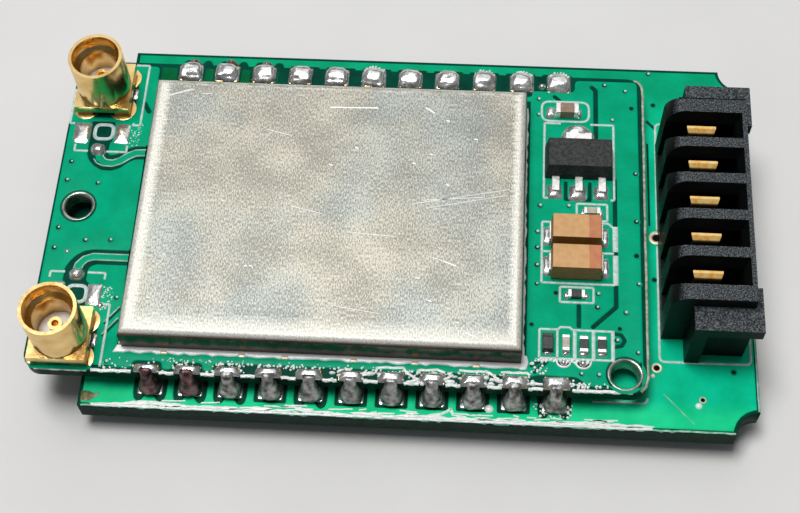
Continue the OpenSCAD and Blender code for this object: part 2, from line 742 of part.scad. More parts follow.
// Rear leaf seen along X: from the base up to the pinch, then out to the lip
module rear_leaf_profile(half_base, bend_height) {
    face = pinch_gap / 2 - pinch_forward;
    pinch_height = contact_top - lip_height;
    polygon([[half_base, housing_floor], [half_base, bend_height],
        [face + leaf_thickness, pinch_height], [face + leaf_thickness + lip_reach, contact_top],
        [face + lip_reach, contact_top], [face, pinch_height],
        [half_base - leaf_thickness, bend_height], [half_base - leaf_thickness, housing_floor]]);
}

// Rear leaf seen along Y: narrows to the pinch and widens again at the lip
module rear_leaf_outline() {
    pinch_height = contact_top - lip_height;
    for (side = [0, 1]) mirror([side, 0])
        polygon([[0, housing_floor], [leaf_width / 2, housing_floor],
            [leaf_neck / 2, pinch_height], [leaf_width / 2, contact_top], [0, contact_top]]);
}

module front_leaf_profile(half_base, bend_height) {
    face = pinch_gap / 2 + pinch_forward;
    tip_height = contact_top - front_leaf_drop;
    polygon([[half_base, housing_floor], [half_base, bend_height],
        [face + leaf_thickness, tip_height], [face, tip_height],
        [half_base - leaf_thickness, bend_height], [half_base - leaf_thickness, housing_floor]]);
}

// Solder cone round each tail under the carrier
module connector_solder() {
    color("silver") translate([housing_left + contact_inset, 0, carrier_bottom]) at_slots() difference() {
        mirror([0, 0, 1]) cylinder(r1 = tail_solder_radius, r2 = tail_side, h = tail_solder_height);
        translate([0, 0, -tail_drop - cut]) block(tail_side, tail_side, tail_drop + 2 * cut);
    }
}

carrier_board();
module_board();
edge_joints_rear();
edge_joints_front();
shield_can();
jack_rear_body();
jack_rear_insulator();
jack_rear_contact();
jack_front_body();
jack_front_insulator();
jack_front_contact();
regulator_body();
regulator_leads();
tantalum_rear_body();
tantalum_rear_terminals();
tantalum_front_body();
tantalum_front_terminals();
rear_capacitor_body();
rear_capacitor_ends();
small_capacitor_body();
small_capacitor_ends();
resistor_body();
resistor_ends();
row_inductor_body();
row_inductor_ends();
row_capacitor_body();
row_capacitor_ends();
row_resistor_left_body();
row_resistor_left_ends();
row_resistor_right_body();
row_resistor_right_ends();
transceiver_chip();
controller_chip();
amplifier_chip();
crystal_can();
connector_housing();
connector_contact(1);  // connector_contact_1
connector_contact(2);  // connector_contact_2
connector_contact(3);  // connector_contact_3
connector_contact(4);  // connector_contact_4
connector_contact(5);  // connector_contact_5
connector_solder();
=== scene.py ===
# %% [markdown]
# A radio control transmitter module: two green circuit boards, one soldered on top of the other. The upper
# board carries a folded shield can, two gold coaxial jacks and a column of small parts. The lower board
# carries a black blade connector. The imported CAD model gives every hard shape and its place. This script
# adds what CAD leaves out: copper under the solder mask, ink, pads, solder, and the finish of every surface.

import math
from collections import namedtuple

import bmesh
import bpy
import numpy as np
from mathutils import Matrix, Vector


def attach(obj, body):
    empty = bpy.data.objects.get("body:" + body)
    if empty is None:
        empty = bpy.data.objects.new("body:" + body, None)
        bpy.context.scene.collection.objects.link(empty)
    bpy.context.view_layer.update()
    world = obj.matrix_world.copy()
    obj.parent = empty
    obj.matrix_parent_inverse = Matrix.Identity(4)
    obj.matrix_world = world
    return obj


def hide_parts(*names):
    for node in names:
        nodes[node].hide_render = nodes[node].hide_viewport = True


MM = 0.001

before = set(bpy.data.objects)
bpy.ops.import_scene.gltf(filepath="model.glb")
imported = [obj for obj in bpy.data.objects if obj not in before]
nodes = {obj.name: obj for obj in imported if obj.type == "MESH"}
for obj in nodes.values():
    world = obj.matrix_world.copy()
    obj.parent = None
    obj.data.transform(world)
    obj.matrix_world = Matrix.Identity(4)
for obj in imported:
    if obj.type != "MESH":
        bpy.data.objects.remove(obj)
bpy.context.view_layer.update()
scene = bpy.context.scene

# %% [markdown]
# The camera stands where the photograph was taken: close, in front of the long side, looking down at about
# 62 degrees. Its place and its three directions were worked out from the solder pads, which sit on a known
# 2.54 mm grid. A matrix made of those directions sets it in one step, where aiming by hand would take many.

# %% Camera
CAMERA_PLACE = Vector((4.569, -47.278, 87.390))
CAMERA_RIGHT = Vector((0.99809, 0.05739, -0.02275))
CAMERA_UP = Vector((-0.03985, 0.88043, 0.47250))
CAMERA_FORWARD = Vector((-0.04714, 0.47069, -0.88104))
CAMERA_LENS = 65.58
SENSOR_WIDTH = 36.0
NEAREST_SEEN = 0.001

camera_data = bpy.data.cameras.new("bench_camera")
camera_data.lens = CAMERA_LENS
camera_data.sensor_width = SENSOR_WIDTH
camera_data.clip_start = NEAREST_SEEN
camera = bpy.data.objects.new("bench_camera", camera_data)
scene.collection.objects.link(camera)
camera_turn = Matrix((CAMERA_RIGHT, CAMERA_UP, -CAMERA_FORWARD)).transposed()
camera.matrix_world = Matrix.Translation(CAMERA_PLACE * MM) @ camera_turn.to_4x4()
scene.camera = camera
print("camera at", [round(v, 1) for v in CAMERA_PLACE], "mm, lens", CAMERA_LENS)

# %% [markdown]
# The light is a soft studio light. One broad lamp hangs overhead, a little behind and to the left, so that
# the parts throw short shadows forwards and to the right. A wide, dim panel behind gives the metal something
# to reflect. The world is a dim, slightly cool grey. Together they give about the light at which a colour
# looks as it is written.

# %% Light
WORLD_TINT = (0.92, 0.96, 1.0, 1.0)
WORLD_STRENGTH = 0.12
LAMPS = {
    "overhead_lamp": {"place": (-0.065, 0.045, 0.42), "size": 0.16, "watts": 1.36},
    "rear_panel": {"place": (0.02, 0.40, 0.50), "size": 0.50, "watts": 0.70},
}
OBJECT_MIDDLE = Vector((0.0, 0.0, 0.004))

world = bpy.data.worlds.new("studio")
world.use_nodes = True
world.node_tree.nodes["Background"].inputs["Color"].default_value = WORLD_TINT
world.node_tree.nodes["Background"].inputs["Strength"].default_value = WORLD_STRENGTH
scene.world = world
scene.view_settings.view_transform = "Standard"


def hang_lamp(name, place, size, watts):
    """A square lamp that faces the middle of the object."""
    lamp = bpy.data.lights.new(name, "AREA")
    lamp.size = size
    lamp.energy = watts
    holder = bpy.data.objects.new(name, lamp)
    holder.location = place
    holder.rotation_euler = (OBJECT_MIDDLE - Vector(place)).to_track_quat("-Z", "Y").to_euler()
    scene.collection.objects.link(holder)


for lamp_name, lamp_facts in LAMPS.items():
    hang_lamp(lamp_name, **lamp_facts)
print("lamps:", sorted(LAMPS))

# %% [markdown]
# Finishes and repeated shapes are both trees of nodes. In the node editor each node is placed by hand, set
# up, and joined socket by socket. In a script one helper can do all three: it adds a node, makes its
# settings, and feeds each named socket with a plain value or with another node's output.


# %% Helpers for trees of nodes
def feed(tree, socket, value):
    """Gives a socket a plain value, or links another node's output to it."""
    if isinstance(value, bpy.types.NodeSocket):
        tree.links.new(value, socket)
    else:
        socket.default_value = value


def grow(tree, kind, settings=None, **sockets):
    """Adds a node, makes its settings, and feeds the sockets named here, with _ in place of a space."""
    node = tree.nodes.new(kind)
    for setting, value in (settings or {}).items():
        setattr(node, setting, value)
    for label, value in sockets.items():
        feed(tree, node.inputs[label.replace("_", " ")], value)
    return node


def reckon(tree, operation, *values):
    """The result of a Math node on plain values or outputs."""
    node = grow(tree, "ShaderNodeMath", {"operation": operation})
    for socket, value in zip(node.inputs, values):
        feed(tree, socket, value)
    return node.outputs["Value"]


print("helpers for trees ready")

# %% [markdown]
# Every finish here is procedural: patches of noise shift the colour, a finer noise shifts the roughness, and
# a third gives the surface a small relief. An image would be tied to one piece and one size, and a noise
# fits them all. The patterns read Object coordinates, which are metres here, so a feature of half a
# millimetre needs a noise scale of about 2000. These helpers start a finish and make the amounts that steer
# it.

# %% Helpers for patterns
Finish = namedtuple("Finish", "material tree shader where")


def new_finish(name, metallic=0.0, specular=0.5):
    """A material with its shader and the Object coordinates that its patterns read."""
    material = bpy.data.materials.new(name)
    material.use_nodes = True
    tree = material.node_tree
    shader = tree.nodes["Principled BSDF"]
    shader.inputs["Metallic"].default_value = metallic
    shader.inputs["Specular IOR Level"].default_value = specular
    return Finish(material, tree, shader, grow(tree, "ShaderNodeTexCoord").outputs["Object"])


def speckle(finish, feature, detail=3.0, stretch=(1.0, 1.0, 1.0)):
    """Noise whose features are about that many millimetres, drawn out along an axis by stretch."""
    mapping = grow(finish.tree, "ShaderNodeMapping", Vector=finish.where, Scale=stretch)
    noise = grow(finish.tree, "ShaderNodeTexNoise", Vector=mapping.outputs["Vector"],
                 Scale=1.0 / (feature * MM), Detail=detail)
    return noise.outputs["Fac"]


def spread(finish, amount, low, high, start, end):
    """A value that runs from low to high as an amount runs from start to end."""
    node = grow(finish.tree, "ShaderNodeMapRange", Value=amount, From_Min=start, From_Max=end, To_Min=low,
                To_Max=high)
    return node.outputs["Result"]


def past(finish, axis, start, end):
    """0 before one place along an axis and 1 after the other, both in millimetres."""
    place = grow(finish.tree, "ShaderNodeSeparateXYZ", Vector=finish.where)
    return spread(finish, place.outputs[axis], 0.0, 1.0, start * MM, end * MM)


def facing_up(finish, start=0.5, end=0.8):
    """1 where the surface faces straight up or down, 0 on its sides."""
    normal = grow(finish.tree, "ShaderNodeNewGeometry").outputs["Normal"]
    upright = grow(finish.tree, "ShaderNodeSeparateXYZ", Vector=normal).outputs["Z"]
    return spread(finish, reckon(finish.tree, "ABSOLUTE", upright), 0.0, 1.0, start, end)


print("helpers for patterns ready")

# %% [markdown]
# The amounts then steer the shader: a colour ramp turns one into colours, a second mixes two colours, and
# others set the roughness or raise a small relief through a Bump node. Most surfaces need no more than two
# colours in soft patches with a fine grain, so one more helper makes such a plain finish in a single call.

# %% Helpers for surfaces
BUMP_STRENGTH = 0.6
PATCH_ENDS = (0.32, 0.68)


def ramp(finish, amount, stops):
    """Turns an amount from 0 to 1 into colours, given as (position, colour) stops."""
    node = grow(finish.tree, "ShaderNodeValToRGB", Fac=amount)
    elements = node.color_ramp.elements
    while len(elements) < len(stops):
        elements.new(0.5)
    for element, (position, colour) in zip(elements, stops):
        element.position = position
        element.color = (*colour, 1.0)
    return node.outputs["Color"]


def mix_colours(finish, amount, first, second):
    """Goes from the first colour to the second as the amount goes from 0 to 1."""
    node = grow(finish.tree, "ShaderNodeMix", {"data_type": "RGBA"}, Factor=amount, A=first, B=second)
    return node.outputs["Result"]


def paint(finish, colour):
    """Gives the surface its colour."""
    feed(finish.tree, finish.shader.inputs["Base Color"], colour)


def polish(finish, amount, smooth, rough, start=0.3, end=0.7):
    """Lets the roughness run from smooth to rough as an amount does from start to end."""
    feed(finish.tree, finish.shader.inputs["Roughness"], spread(finish, amount, smooth, rough, start, end))


def relief(finish, amount, height):
    """Lets an amount raise the surface by up to height, in millimetres."""
    bump = grow(finish.tree, "ShaderNodeBump", Height=amount, Distance=height * MM, Strength=BUMP_STRENGTH)
    feed(finish.tree, finish.shader.inputs["Normal"], bump.outputs["Normal"])


def plain_finish(name, dark, light, patch, roughness, grain, height, metallic=0.0, specular=0.5):
    """Two colours in soft patches, a span of roughness and a fine relief."""
    finish = new_finish(name, metallic, specular)
    paint(finish, ramp(finish, speckle(finish, patch), list(zip(PATCH_ENDS, (dark, light)))))
    fine = speckle(finish, grain)
    polish(finish, fine, *roughness)
    relief(finish, fine, height)
    return finish


print("helpers for surfaces ready")

# %% [markdown]
# The boards themselves: over bare laminate the mask is a deep green, and the sawn sides are painted darker
# still as painted shade, with the layers of glass cloth in them. Two materials would need the faces sorted.
# One can do both by asking which way the surface faces.

# %% Mask on bare laminate
MASK_DEEP = [(0.30, (0.0, 0.046, 0.028)), (0.70, (0.0, 0.076, 0.048))]
# Painted shade: the sawn sides get a far darker green than bare laminate has.
SHADED_SAWN_LAMINATE = [(0.35, (0.0, 0.014, 0.008)), (0.65, (0.004, 0.040, 0.023))]
LAYER_STRETCH = (0.25, 0.25, 5.0)

board_finish = new_finish("mask_on_laminate", specular=0.03)
deep_green = ramp(board_finish, speckle(board_finish, 1.2), MASK_DEEP)
shaded_sawn_side = ramp(board_finish, speckle(board_finish, 0.5, stretch=LAYER_STRETCH), SHADED_SAWN_LAMINATE)
paint(board_finish, mix_colours(board_finish, facing_up(board_finish), shaded_sawn_side, deep_green))
board_weave = speckle(board_finish, 0.35)
polish(board_finish, board_weave, 0.25, 0.42)
relief(board_finish, board_weave, 0.012)
print("board finish:", board_finish.material.name)

# %% [markdown]
# Over copper the mask is the bright emerald that covers most of the upper board. A duller green is painted
# shade at the rear row, and a nearly black one is the painted shade in the pits of the vias. A pale green is
# a painted highlight along edges, and a paler one the painted highlight on the vias. All of these are plain
# finishes.

# %% Mask over copper
MASK_GLOSS = {"roughness": (0.22, 0.36), "grain": 0.30, "height": 0.006, "specular": 0.04}
mask_finish = plain_finish("mask_on_copper", (0.0, 0.345, 0.172), (0.0, 0.435, 0.230), patch=1.6,
                           **MASK_GLOSS)
# Painted shade: a duller green for the strip at the left end of the rear row.
shaded_mask_finish = plain_finish("painted_shade_mask", (0.0, 0.105, 0.032), (0.0, 0.150, 0.050), patch=1.2,
                             **MASK_GLOSS)
# Painted shade: near black for the pits of the vias.
pit_shade_finish = plain_finish("painted_pit_shade", (0.0, 0.016, 0.016), (0.001, 0.034, 0.030), patch=0.8,
                              roughness=(0.25, 0.4), grain=0.3, height=0.006, specular=0.08)
# Painted highlight: a pale green for lit edges; the same finish colours a real scratch.
glint_and_scratch_finish = plain_finish("painted_glint_and_scratch", (0.10, 0.42, 0.28), (0.48, 0.72, 0.58), patch=0.5,
                            roughness=(0.3, 0.5), grain=0.15, height=0.006, specular=0.3)
# Painted highlight: a pale dome in each via.
highlight_bead_finish = plain_finish("painted_highlight_bead", (0.30, 0.60, 0.46), (0.72, 0.86, 0.76), patch=0.12,
                           roughness=(0.15, 0.3), grain=0.15, height=0.006)
print("mask finishes:", mask_finish.material.name, shaded_mask_finish.material.name, pit_shade_finish.material.name)

# %% [markdown]
# The lower board's mask is lighter. It is painted palest along the front edge as a painted highlight, and
# darker in the strip behind the upper board as painted shade. Separate sheets would leave seams, so one
# finish goes from green to green by its place along Y.

# %% Mask on the lower board
# Painted light: the front green is a painted highlight, the rear green a painted shade.
CARRIER_LIT_AND_SHADED_GREENS = {
    "front": [(0.32, (0.004, 0.620, 0.245)), (0.68, (0.020, 0.800, 0.355))],
    "middle": [(0.32, (0.0, 0.510, 0.255)), (0.68, (0.002, 0.670, 0.370))],
    "rear": [(0.32, (0.0, 0.330, 0.150)), (0.68, (0.0, 0.440, 0.215))],
}
PAINTED_HIGHLIGHT_ENDS = (-12.6, -11.4)
PAINTED_SHADE_ENDS = (9.0, 11.5)

carrier_finish = new_finish("mask_on_carrier_copper", specular=MASK_GLOSS["specular"])
carrier_patches = speckle(carrier_finish, 2.2)
greens = {part: ramp(carrier_finish, carrier_patches, tints) for part, tints in CARRIER_LIT_AND_SHADED_GREENS.items()}
lit_fore_green = mix_colours(carrier_finish, past(carrier_finish, "Y", *PAINTED_HIGHLIGHT_ENDS), greens["front"],
                         greens["middle"])
paint(carrier_finish, mix_colours(carrier_finish, past(carrier_finish, "Y", *PAINTED_SHADE_ENDS), lit_fore_green,
                                  greens["rear"]))
carrier_grain = speckle(carrier_finish, MASK_GLOSS["grain"])
polish(carrier_finish, carrier_grain, *MASK_GLOSS["roughness"])
relief(carrier_finish, carrier_grain, MASK_GLOSS["height"])
print("lower board's mask:", carrier_finish.material.name, "in", len(greens), "greens")

# %% [markdown]
# What lies on the mask: a pale edge of bare laminate with a painted highlight, white ink, flux that dried
# white, whose white along the edges is also a painted highlight, flux that burnt brown, and one tan stain.
# They are matt or milky films, so each is a plain finish with little gloss of its own.

# %% Ink and residue
# Bare laminate, made paler as a painted highlight of the lit edge.
pale_edge_finish = plain_finish("laminate_edge_and_highlight", (0.22, 0.26, 0.16), (0.58, 0.60, 0.48), patch=0.30,
                           roughness=(0.5, 0.7), grain=0.10, height=0.012, specular=0.3)
ink_finish = plain_finish("legend_ink", (0.46, 0.60, 0.56), (0.72, 0.84, 0.80), patch=0.25,
                          roughness=(0.5, 0.75), grain=0.12, height=0.010)
# Dried flux, white; along the board edges its white also stands in for a painted highlight.
flux_and_highlight_finish = plain_finish("dried_flux_and_painted_highlight", (0.86, 0.91, 0.87), (0.98, 0.99, 0.97), patch=0.25,
                           roughness=(0.12, 0.34), grain=0.12, height=0.012)
brown_flux = plain_finish("burnt_flux", (0.055, 0.030, 0.022), (0.24, 0.155, 0.125), patch=0.4,
                          roughness=(0.15, 0.35), grain=0.2, height=0.012)
stain_finish = plain_finish("tan_stain", (0.10, 0.11, 0.035), (0.26, 0.26, 0.10), patch=0.3,
                            roughness=(0.3, 0.5), grain=0.12, height=0.012, specular=0.3)
print("ink and residue:", ink_finish.material.name, flux_and_highlight_finish.material.name, brown_flux.material.name)

# %% [markdown]
# Solder that was reflowed is bright and smooth. The hand solder of the front row is dull and grainy, and its
# two left-hand joints are stained a reddish brown. A metal with one even roughness looks like plastic, so
# the roughness wanders here too, and the stain comes in by its place along X.

# %% Solder
DULL_TINTS = [(0.35, (0.085, 0.081, 0.079)), (0.65, (0.60, 0.595, 0.585))]
STAIN_TINTS = [(0.36, (0.014, 0.006, 0.006)), (0.66, (0.27, 0.150, 0.150))]
STAIN_ENDS = (-11.6, -11.2)

bright_solder = plain_finish("bright_solder", (0.46, 0.46, 0.45), (0.90, 0.90, 0.88), patch=0.40,
                             roughness=(0.14, 0.30), grain=0.34, height=0.030, metallic=0.78)
dull_solder = new_finish("dull_solder", metallic=0.6)
dull_patches = speckle(dull_solder, 0.50)
stained_grey, clean_grey = [ramp(dull_solder, dull_patches, tints) for tints in (STAIN_TINTS, DULL_TINTS)]
paint(dull_solder, mix_colours(dull_solder, past(dull_solder, "X", *STAIN_ENDS), stained_grey, clean_grey))
dull_grain = speckle(dull_solder, 0.14)
polish(dull_solder, dull_grain, 0.34, 0.58)
relief(dull_solder, dull_grain, 0.036)
print("solders:", bright_solder.material.name, dull_solder.material.name)

# %% [markdown]
# Gold covers the jacks and the upper ends of the blade contacts. Lower down, in their slots, the contacts are
# painted nearly black as painted shade. The gold is worn thin in the shield's seat. Tin covers the leads and
# the ends of the chip parts, and the holes are plated with a metal that has picked up some green. The line
# where a contact's painted shade ends is read from its height.

# %% Gold, tin and plating
SHADE_BELOW = 7.66
SHADE_BLEND = 0.06
# Painted shade: the lower part of each contact, down in its slot, is painted nearly black.
CONTACT_SHADE = [(0.30, (0.030, 0.016, 0.006)), (0.70, (0.075, 0.042, 0.018))]
LIP_GOLD = [(0.36, (0.98, 0.47, 0.09)), (0.64, (1.0, 0.74, 0.28))]

gold_finish = plain_finish("gold_plate", (0.70, 0.45, 0.16), (0.90, 0.66, 0.30), patch=1.1,
                           roughness=(0.18, 0.27), grain=0.30, height=0.0012, metallic=1.0)
seat_gold_finish = plain_finish("worn_gold", (0.86, 0.66, 0.42), (0.96, 0.86, 0.68), patch=0.3,
                                roughness=(0.3, 0.5), grain=0.2, height=0.006, metallic=0.25)
tin_finish = plain_finish("tin_plate", (0.70, 0.69, 0.67), (0.92, 0.91, 0.89), patch=0.5,
                          roughness=(0.25, 0.45), grain=0.25, height=0.006, metallic=0.75)
plating_finish = plain_finish("hole_plating", (0.05, 0.13, 0.09), (0.46, 0.50, 0.42), patch=0.9,
                              roughness=(0.16, 0.30), grain=0.4, height=0.006, metallic=0.6)
contact_finish = new_finish("spring_gold", metallic=0.08)
contact_patches = speckle(contact_finish, 0.35)
contact_shade, lip_gold = [ramp(contact_finish, contact_patches, tints) for tints in (CONTACT_SHADE, LIP_GOLD)]
lit_lip = past(contact_finish, "Z", SHADE_BELOW, SHADE_BELOW + SHADE_BLEND)
paint(contact_finish, mix_colours(contact_finish, lit_lip, contact_shade, lip_gold))
polish(contact_finish, contact_patches, 0.22, 0.36)
print("platings:", gold_finish.material.name, tin_finish.material.name, contact_finish.material.name)

# %% [markdown]
# The shield is tinned sheet with a fine grain like linen. Its top goes slowly from a warm to a cool grey. The
# folds along its edges are painted bright, partly rubbed wear and partly a painted highlight of the folds,
# widest along the front. Its walls are painted a dark brown as painted shade. A weave and broad clouds are
# mixed into one mottle, and two ramps colour it, one warm and one cool. Each bright fold is a band along an
# edge, frayed by short strokes, so that it doesn't end in a ruled line.

# %% Sheet of the shield
WARM_TINTS = [(0.41, (0.246, 0.238, 0.205)), (0.50, (0.362, 0.348, 0.298)), (0.59, (0.530, 0.503, 0.420))]
COOL_TINTS = [(0.41, (0.210, 0.226, 0.213)), (0.50, (0.320, 0.337, 0.312)), (0.59, (0.474, 0.484, 0.438))]
# Painted shade: the walls get these dark tints.
WALL_SHADE_TINTS = [(0.35, (0.018, 0.013, 0.009)), (0.65, (0.085, 0.062, 0.045))]
FOLD_SHEEN_AND_WEAR = [(0.34, (0.60, 0.58, 0.51)), (0.66, (0.91, 0.89, 0.81))]
SHIELD_LEFT, SHIELD_RIGHT = -16.9, 8.05
SHIELD_FRONT, SHIELD_REAR = -10.305, 8.745
# Each row: axis, place of the edge, way inwards, fully bright up to here, and not bright from here on
SHEEN_AND_WEAR_EDGES = [("X", SHIELD_LEFT, 1, 0.75, 1.15), ("X", SHIELD_RIGHT, -1, 0.60, 0.95),
                   ("Y", SHIELD_FRONT, 1, 0.30, 1.60), ("Y", SHIELD_REAR, -1, 0.15, 0.60)]
FRAY = 0.8
WEAVE_SHARE = 0.72
HUE_ENDS = (0.42, 0.58)

shield_finish = new_finish("shield_sheet_metal")
sheet_tree = shield_finish.tree
weave = speckle(shield_finish, 0.080, detail=2.0, stretch=(1.0, 0.42, 1.0))
clouds = speckle(shield_finish, 3.5, detail=4.0)
slow_hue = speckle(shield_finish, 9.0, detail=2.0)
strokes = speckle(shield_finish, 0.25, stretch=(0.3, 1.6, 1.0))
mottle = reckon(sheet_tree, "MULTIPLY_ADD", clouds, 1 - WEAVE_SHARE,
                reckon(sheet_tree, "MULTIPLY", weave, WEAVE_SHARE))
sheet_place = grow(sheet_tree, "ShaderNodeSeparateXYZ", Vector=shield_finish.where)
sheen_and_wear = 0.0
# Painted highlight and wear: the bands along the folds are made brighter.
for axis, edge_place, inward, full, reach in SHEEN_AND_WEAR_EDGES:
    frayed = reckon(sheet_tree, "MULTIPLY_ADD", strokes, FRAY * MM, sheet_place.outputs[axis])
    start, end = [(edge_place + inward * width + 0.5 * FRAY) * MM for width in (full, reach)]
    sheen_and_wear = reckon(sheet_tree, "MAXIMUM", spread(shield_finish, frayed, 1.0, 0.0, start, end), sheen_and_wear)
sheet_hue = mix_colours(shield_finish, spread(shield_finish, slow_hue, 0.0, 1.0, *HUE_ENDS),
                        ramp(shield_finish, mottle, WARM_TINTS), ramp(shield_finish, mottle, COOL_TINTS))
sheet_top = mix_colours(shield_finish, sheen_and_wear, sheet_hue, ramp(shield_finish, weave, FOLD_SHEEN_AND_WEAR))
sheet_up = facing_up(shield_finish, 0.42, 0.72)
# The walls take the painted shade tints, the top the sheet's colours.
paint(shield_finish, mix_colours(shield_finish, sheet_up, ramp(shield_finish, clouds, WALL_SHADE_TINTS), sheet_top))
polish(shield_finish, sheet_up, 0.20, 0.55, 0.0, 1.0)
sheen_and_wear_on_top = reckon(sheet_tree, "MULTIPLY", sheen_and_wear, sheet_up)
sheet_metal = spread(shield_finish, sheen_and_wear_on_top, 1.0, 0.45, 0.0, 1.0)
feed(sheet_tree, shield_finish.shader.inputs["Metallic"], sheet_metal)
relief(shield_finish, weave, 0.005)
scratch_finish = plain_finish("scratched_sheet", (0.80, 0.78, 0.73), (0.96, 0.95, 0.91), patch=0.5,
                              roughness=(0.35, 0.5), grain=0.2, height=0.004, metallic=0.3)
print("shield's sheet:", len(sheet_tree.nodes), "nodes")

# %% [markdown]
# The connector's housing is black nylon. Its mould was spark-eroded on the top faces, which scatter a
# speckled grey, and smooth on the sides. The same noise gives both the speckle and a real relief. The lower
# ledges face up too but are smooth, so the speckle also asks for a height.

# %% Nylon of the connector
HOUSING_SIDE = [(0.30, (0.003, 0.0035, 0.0035)), (0.70, (0.007, 0.008, 0.008))]
HOUSING_TOP = [(0.36, (0.012, 0.014, 0.016)), (0.50, (0.045, 0.053, 0.058)), (0.64, (0.145, 0.162, 0.174))]
ERODED_ABOVE = 6.5
ERODED_BLEND = 0.1

housing_finish = new_finish("housing_nylon", specular=0.1)
erosion = speckle(housing_finish, 0.09, detail=1.5)
eroded = reckon(housing_finish.tree, "MULTIPLY", facing_up(housing_finish, 0.75, 0.95),
                past(housing_finish, "Z", ERODED_ABOVE, ERODED_ABOVE + ERODED_BLEND))
paint(housing_finish, mix_colours(housing_finish, eroded, ramp(housing_finish, erosion, HOUSING_SIDE),
                                  ramp(housing_finish, erosion, HOUSING_TOP)))
polish(housing_finish, erosion, 0.32, 0.55)
relief(housing_finish, erosion, 0.020)
# Painted shade: near black for the discs over holes and the shadow line behind the housing's wall.
painted_shade_finish = plain_finish("painted_shade_black", (0.0015, 0.002, 0.002), (0.005, 0.006, 0.006), patch=0.3,
                           roughness=(0.6, 0.8), grain=0.2, height=0.004, specular=0.05)
print("connector:", housing_finish.material.name, painted_shade_finish.material.name)

# %% [markdown]
# The small parts: the regulator is a matt epoxy, the chip parts are glazed black or fired brown and beige
# ceramics, and the jacks' insulators are a white fluoropolymer. At their size a plain finish is enough.

# %% Epoxy and ceramics
epoxy_finish = plain_finish("black_epoxy", (0.018, 0.0185, 0.019), (0.058, 0.060, 0.060), patch=0.22,
                            roughness=(0.45, 0.65), grain=0.12, height=0.010, specular=0.2)
chip_finish = plain_finish("chip_glaze", (0.010, 0.011, 0.012), (0.030, 0.031, 0.033), patch=0.3,
                           roughness=(0.25, 0.45), grain=0.12, height=0.006)
brown_finish = plain_finish("brown_ceramic", (0.23, 0.145, 0.095), (0.37, 0.25, 0.175), patch=0.35,
                            roughness=(0.35, 0.55), grain=0.10, height=0.006)
beige_finish = plain_finish("beige_ceramic", (0.42, 0.37, 0.29), (0.60, 0.55, 0.45), patch=0.35,
                            roughness=(0.35, 0.55), grain=0.10, height=0.006)
white_finish = plain_finish("white_fluoropolymer", (0.66, 0.64, 0.60), (0.82, 0.80, 0.76), patch=0.5,
                            roughness=(0.35, 0.5), grain=0.15, height=0.006)
print("small parts:", epoxy_finish.material.name, chip_finish.material.name, white_finish.material.name)

# %% [markdown]
# The tantalum capacitors are moulded in yellow resin, and their sides are painted darker as painted shade. A
# printed orange stripe at the right-hand end of the top marks the positive side. It is flush with the resin,
# so it belongs to the finish and not to the shape, and its place along X decides where it starts.

# %% Resin of the tantalum capacitors
STRIPE_START = 12.13
STRIPE_BLEND = 0.03
RESIN_TINTS = {
    "top": [(0.30, (0.60, 0.31, 0.105)), (0.70, (0.70, 0.40, 0.155))],
    "stripe": [(0.30, (0.52, 0.17, 0.060)), (0.70, (0.62, 0.23, 0.090))],
    # Painted shade: the sides get darker tints than the top.
    "side": [(0.30, (0.36, 0.145, 0.030)), (0.70, (0.44, 0.19, 0.045))],
}

tantalum_finish = new_finish("tantalum_resin")
resin_patches = speckle(tantalum_finish, 0.4)
resin = {part: ramp(tantalum_finish, resin_patches, tints) for part, tints in RESIN_TINTS.items()}
in_stripe = past(tantalum_finish, "X", STRIPE_START, STRIPE_START + STRIPE_BLEND)
resin_top = mix_colours(tantalum_finish, in_stripe, resin["top"], resin["stripe"])
paint(tantalum_finish, mix_colours(tantalum_finish, facing_up(tantalum_finish), resin["side"], resin_top))
resin_grain = speckle(tantalum_finish, 0.10)
polish(tantalum_finish, resin_grain, 0.40, 0.60)
relief(tantalum_finish, resin_grain, 0.008)
print("resin:", tantalum_finish.material.name, "in", len(resin), "tints")

# %% [markdown]
# The CAD solids keep their shapes and get these finishes. Their edges are as sharp as CAD draws them, and no
# real edge is. A Weld modifier joins the loose triangles and a Bevel modifier then rounds every edge by a
# few hundredths of a millimetre, enough to catch a line of light, without touching the CAD mesh itself.

# %% Dress the CAD solids
# Each row: a part of the node's name, its finish, and the rounding of its edges. The first that fits is taken
FINISH_OF_NODE = [
    ("board", board_finish, 0.06),
    ("shield_can", shield_finish, 0.0),
    ("_insulator", white_finish, 0.03),
    ("jack_", gold_finish, 0.05),
    ("regulator_body", epoxy_finish, 0.05),
    ("regulator_leads", tin_finish, 0.05),
    ("terminals", tin_finish, 0.04),
    ("tantalum_", tantalum_finish, 0.05),
    ("inductor_ends", chip_finish, 0.05),
    ("_ends", tin_finish, 0.05),
    ("rear_capacitor_body", brown_finish, 0.03),
    ("row_capacitor_body", beige_finish, 0.03),
    ("small_capacitor_body", beige_finish, 0.03),
    ("_chip", chip_finish, 0.03),
    ("crystal_can", tin_finish, 0.05),
    ("connector_housing", housing_finish, 0.07),
    ("connector_contact", contact_finish, 0.085),
    ("solder", bright_solder, 0.0),
    ("joints", bright_solder, 0.0),
    ("", chip_finish, 0.03),
]
WELD_DISTANCE = 1e-6
BEVEL_ANGLE = math.radians(35)
BEVEL_STEPS = 2


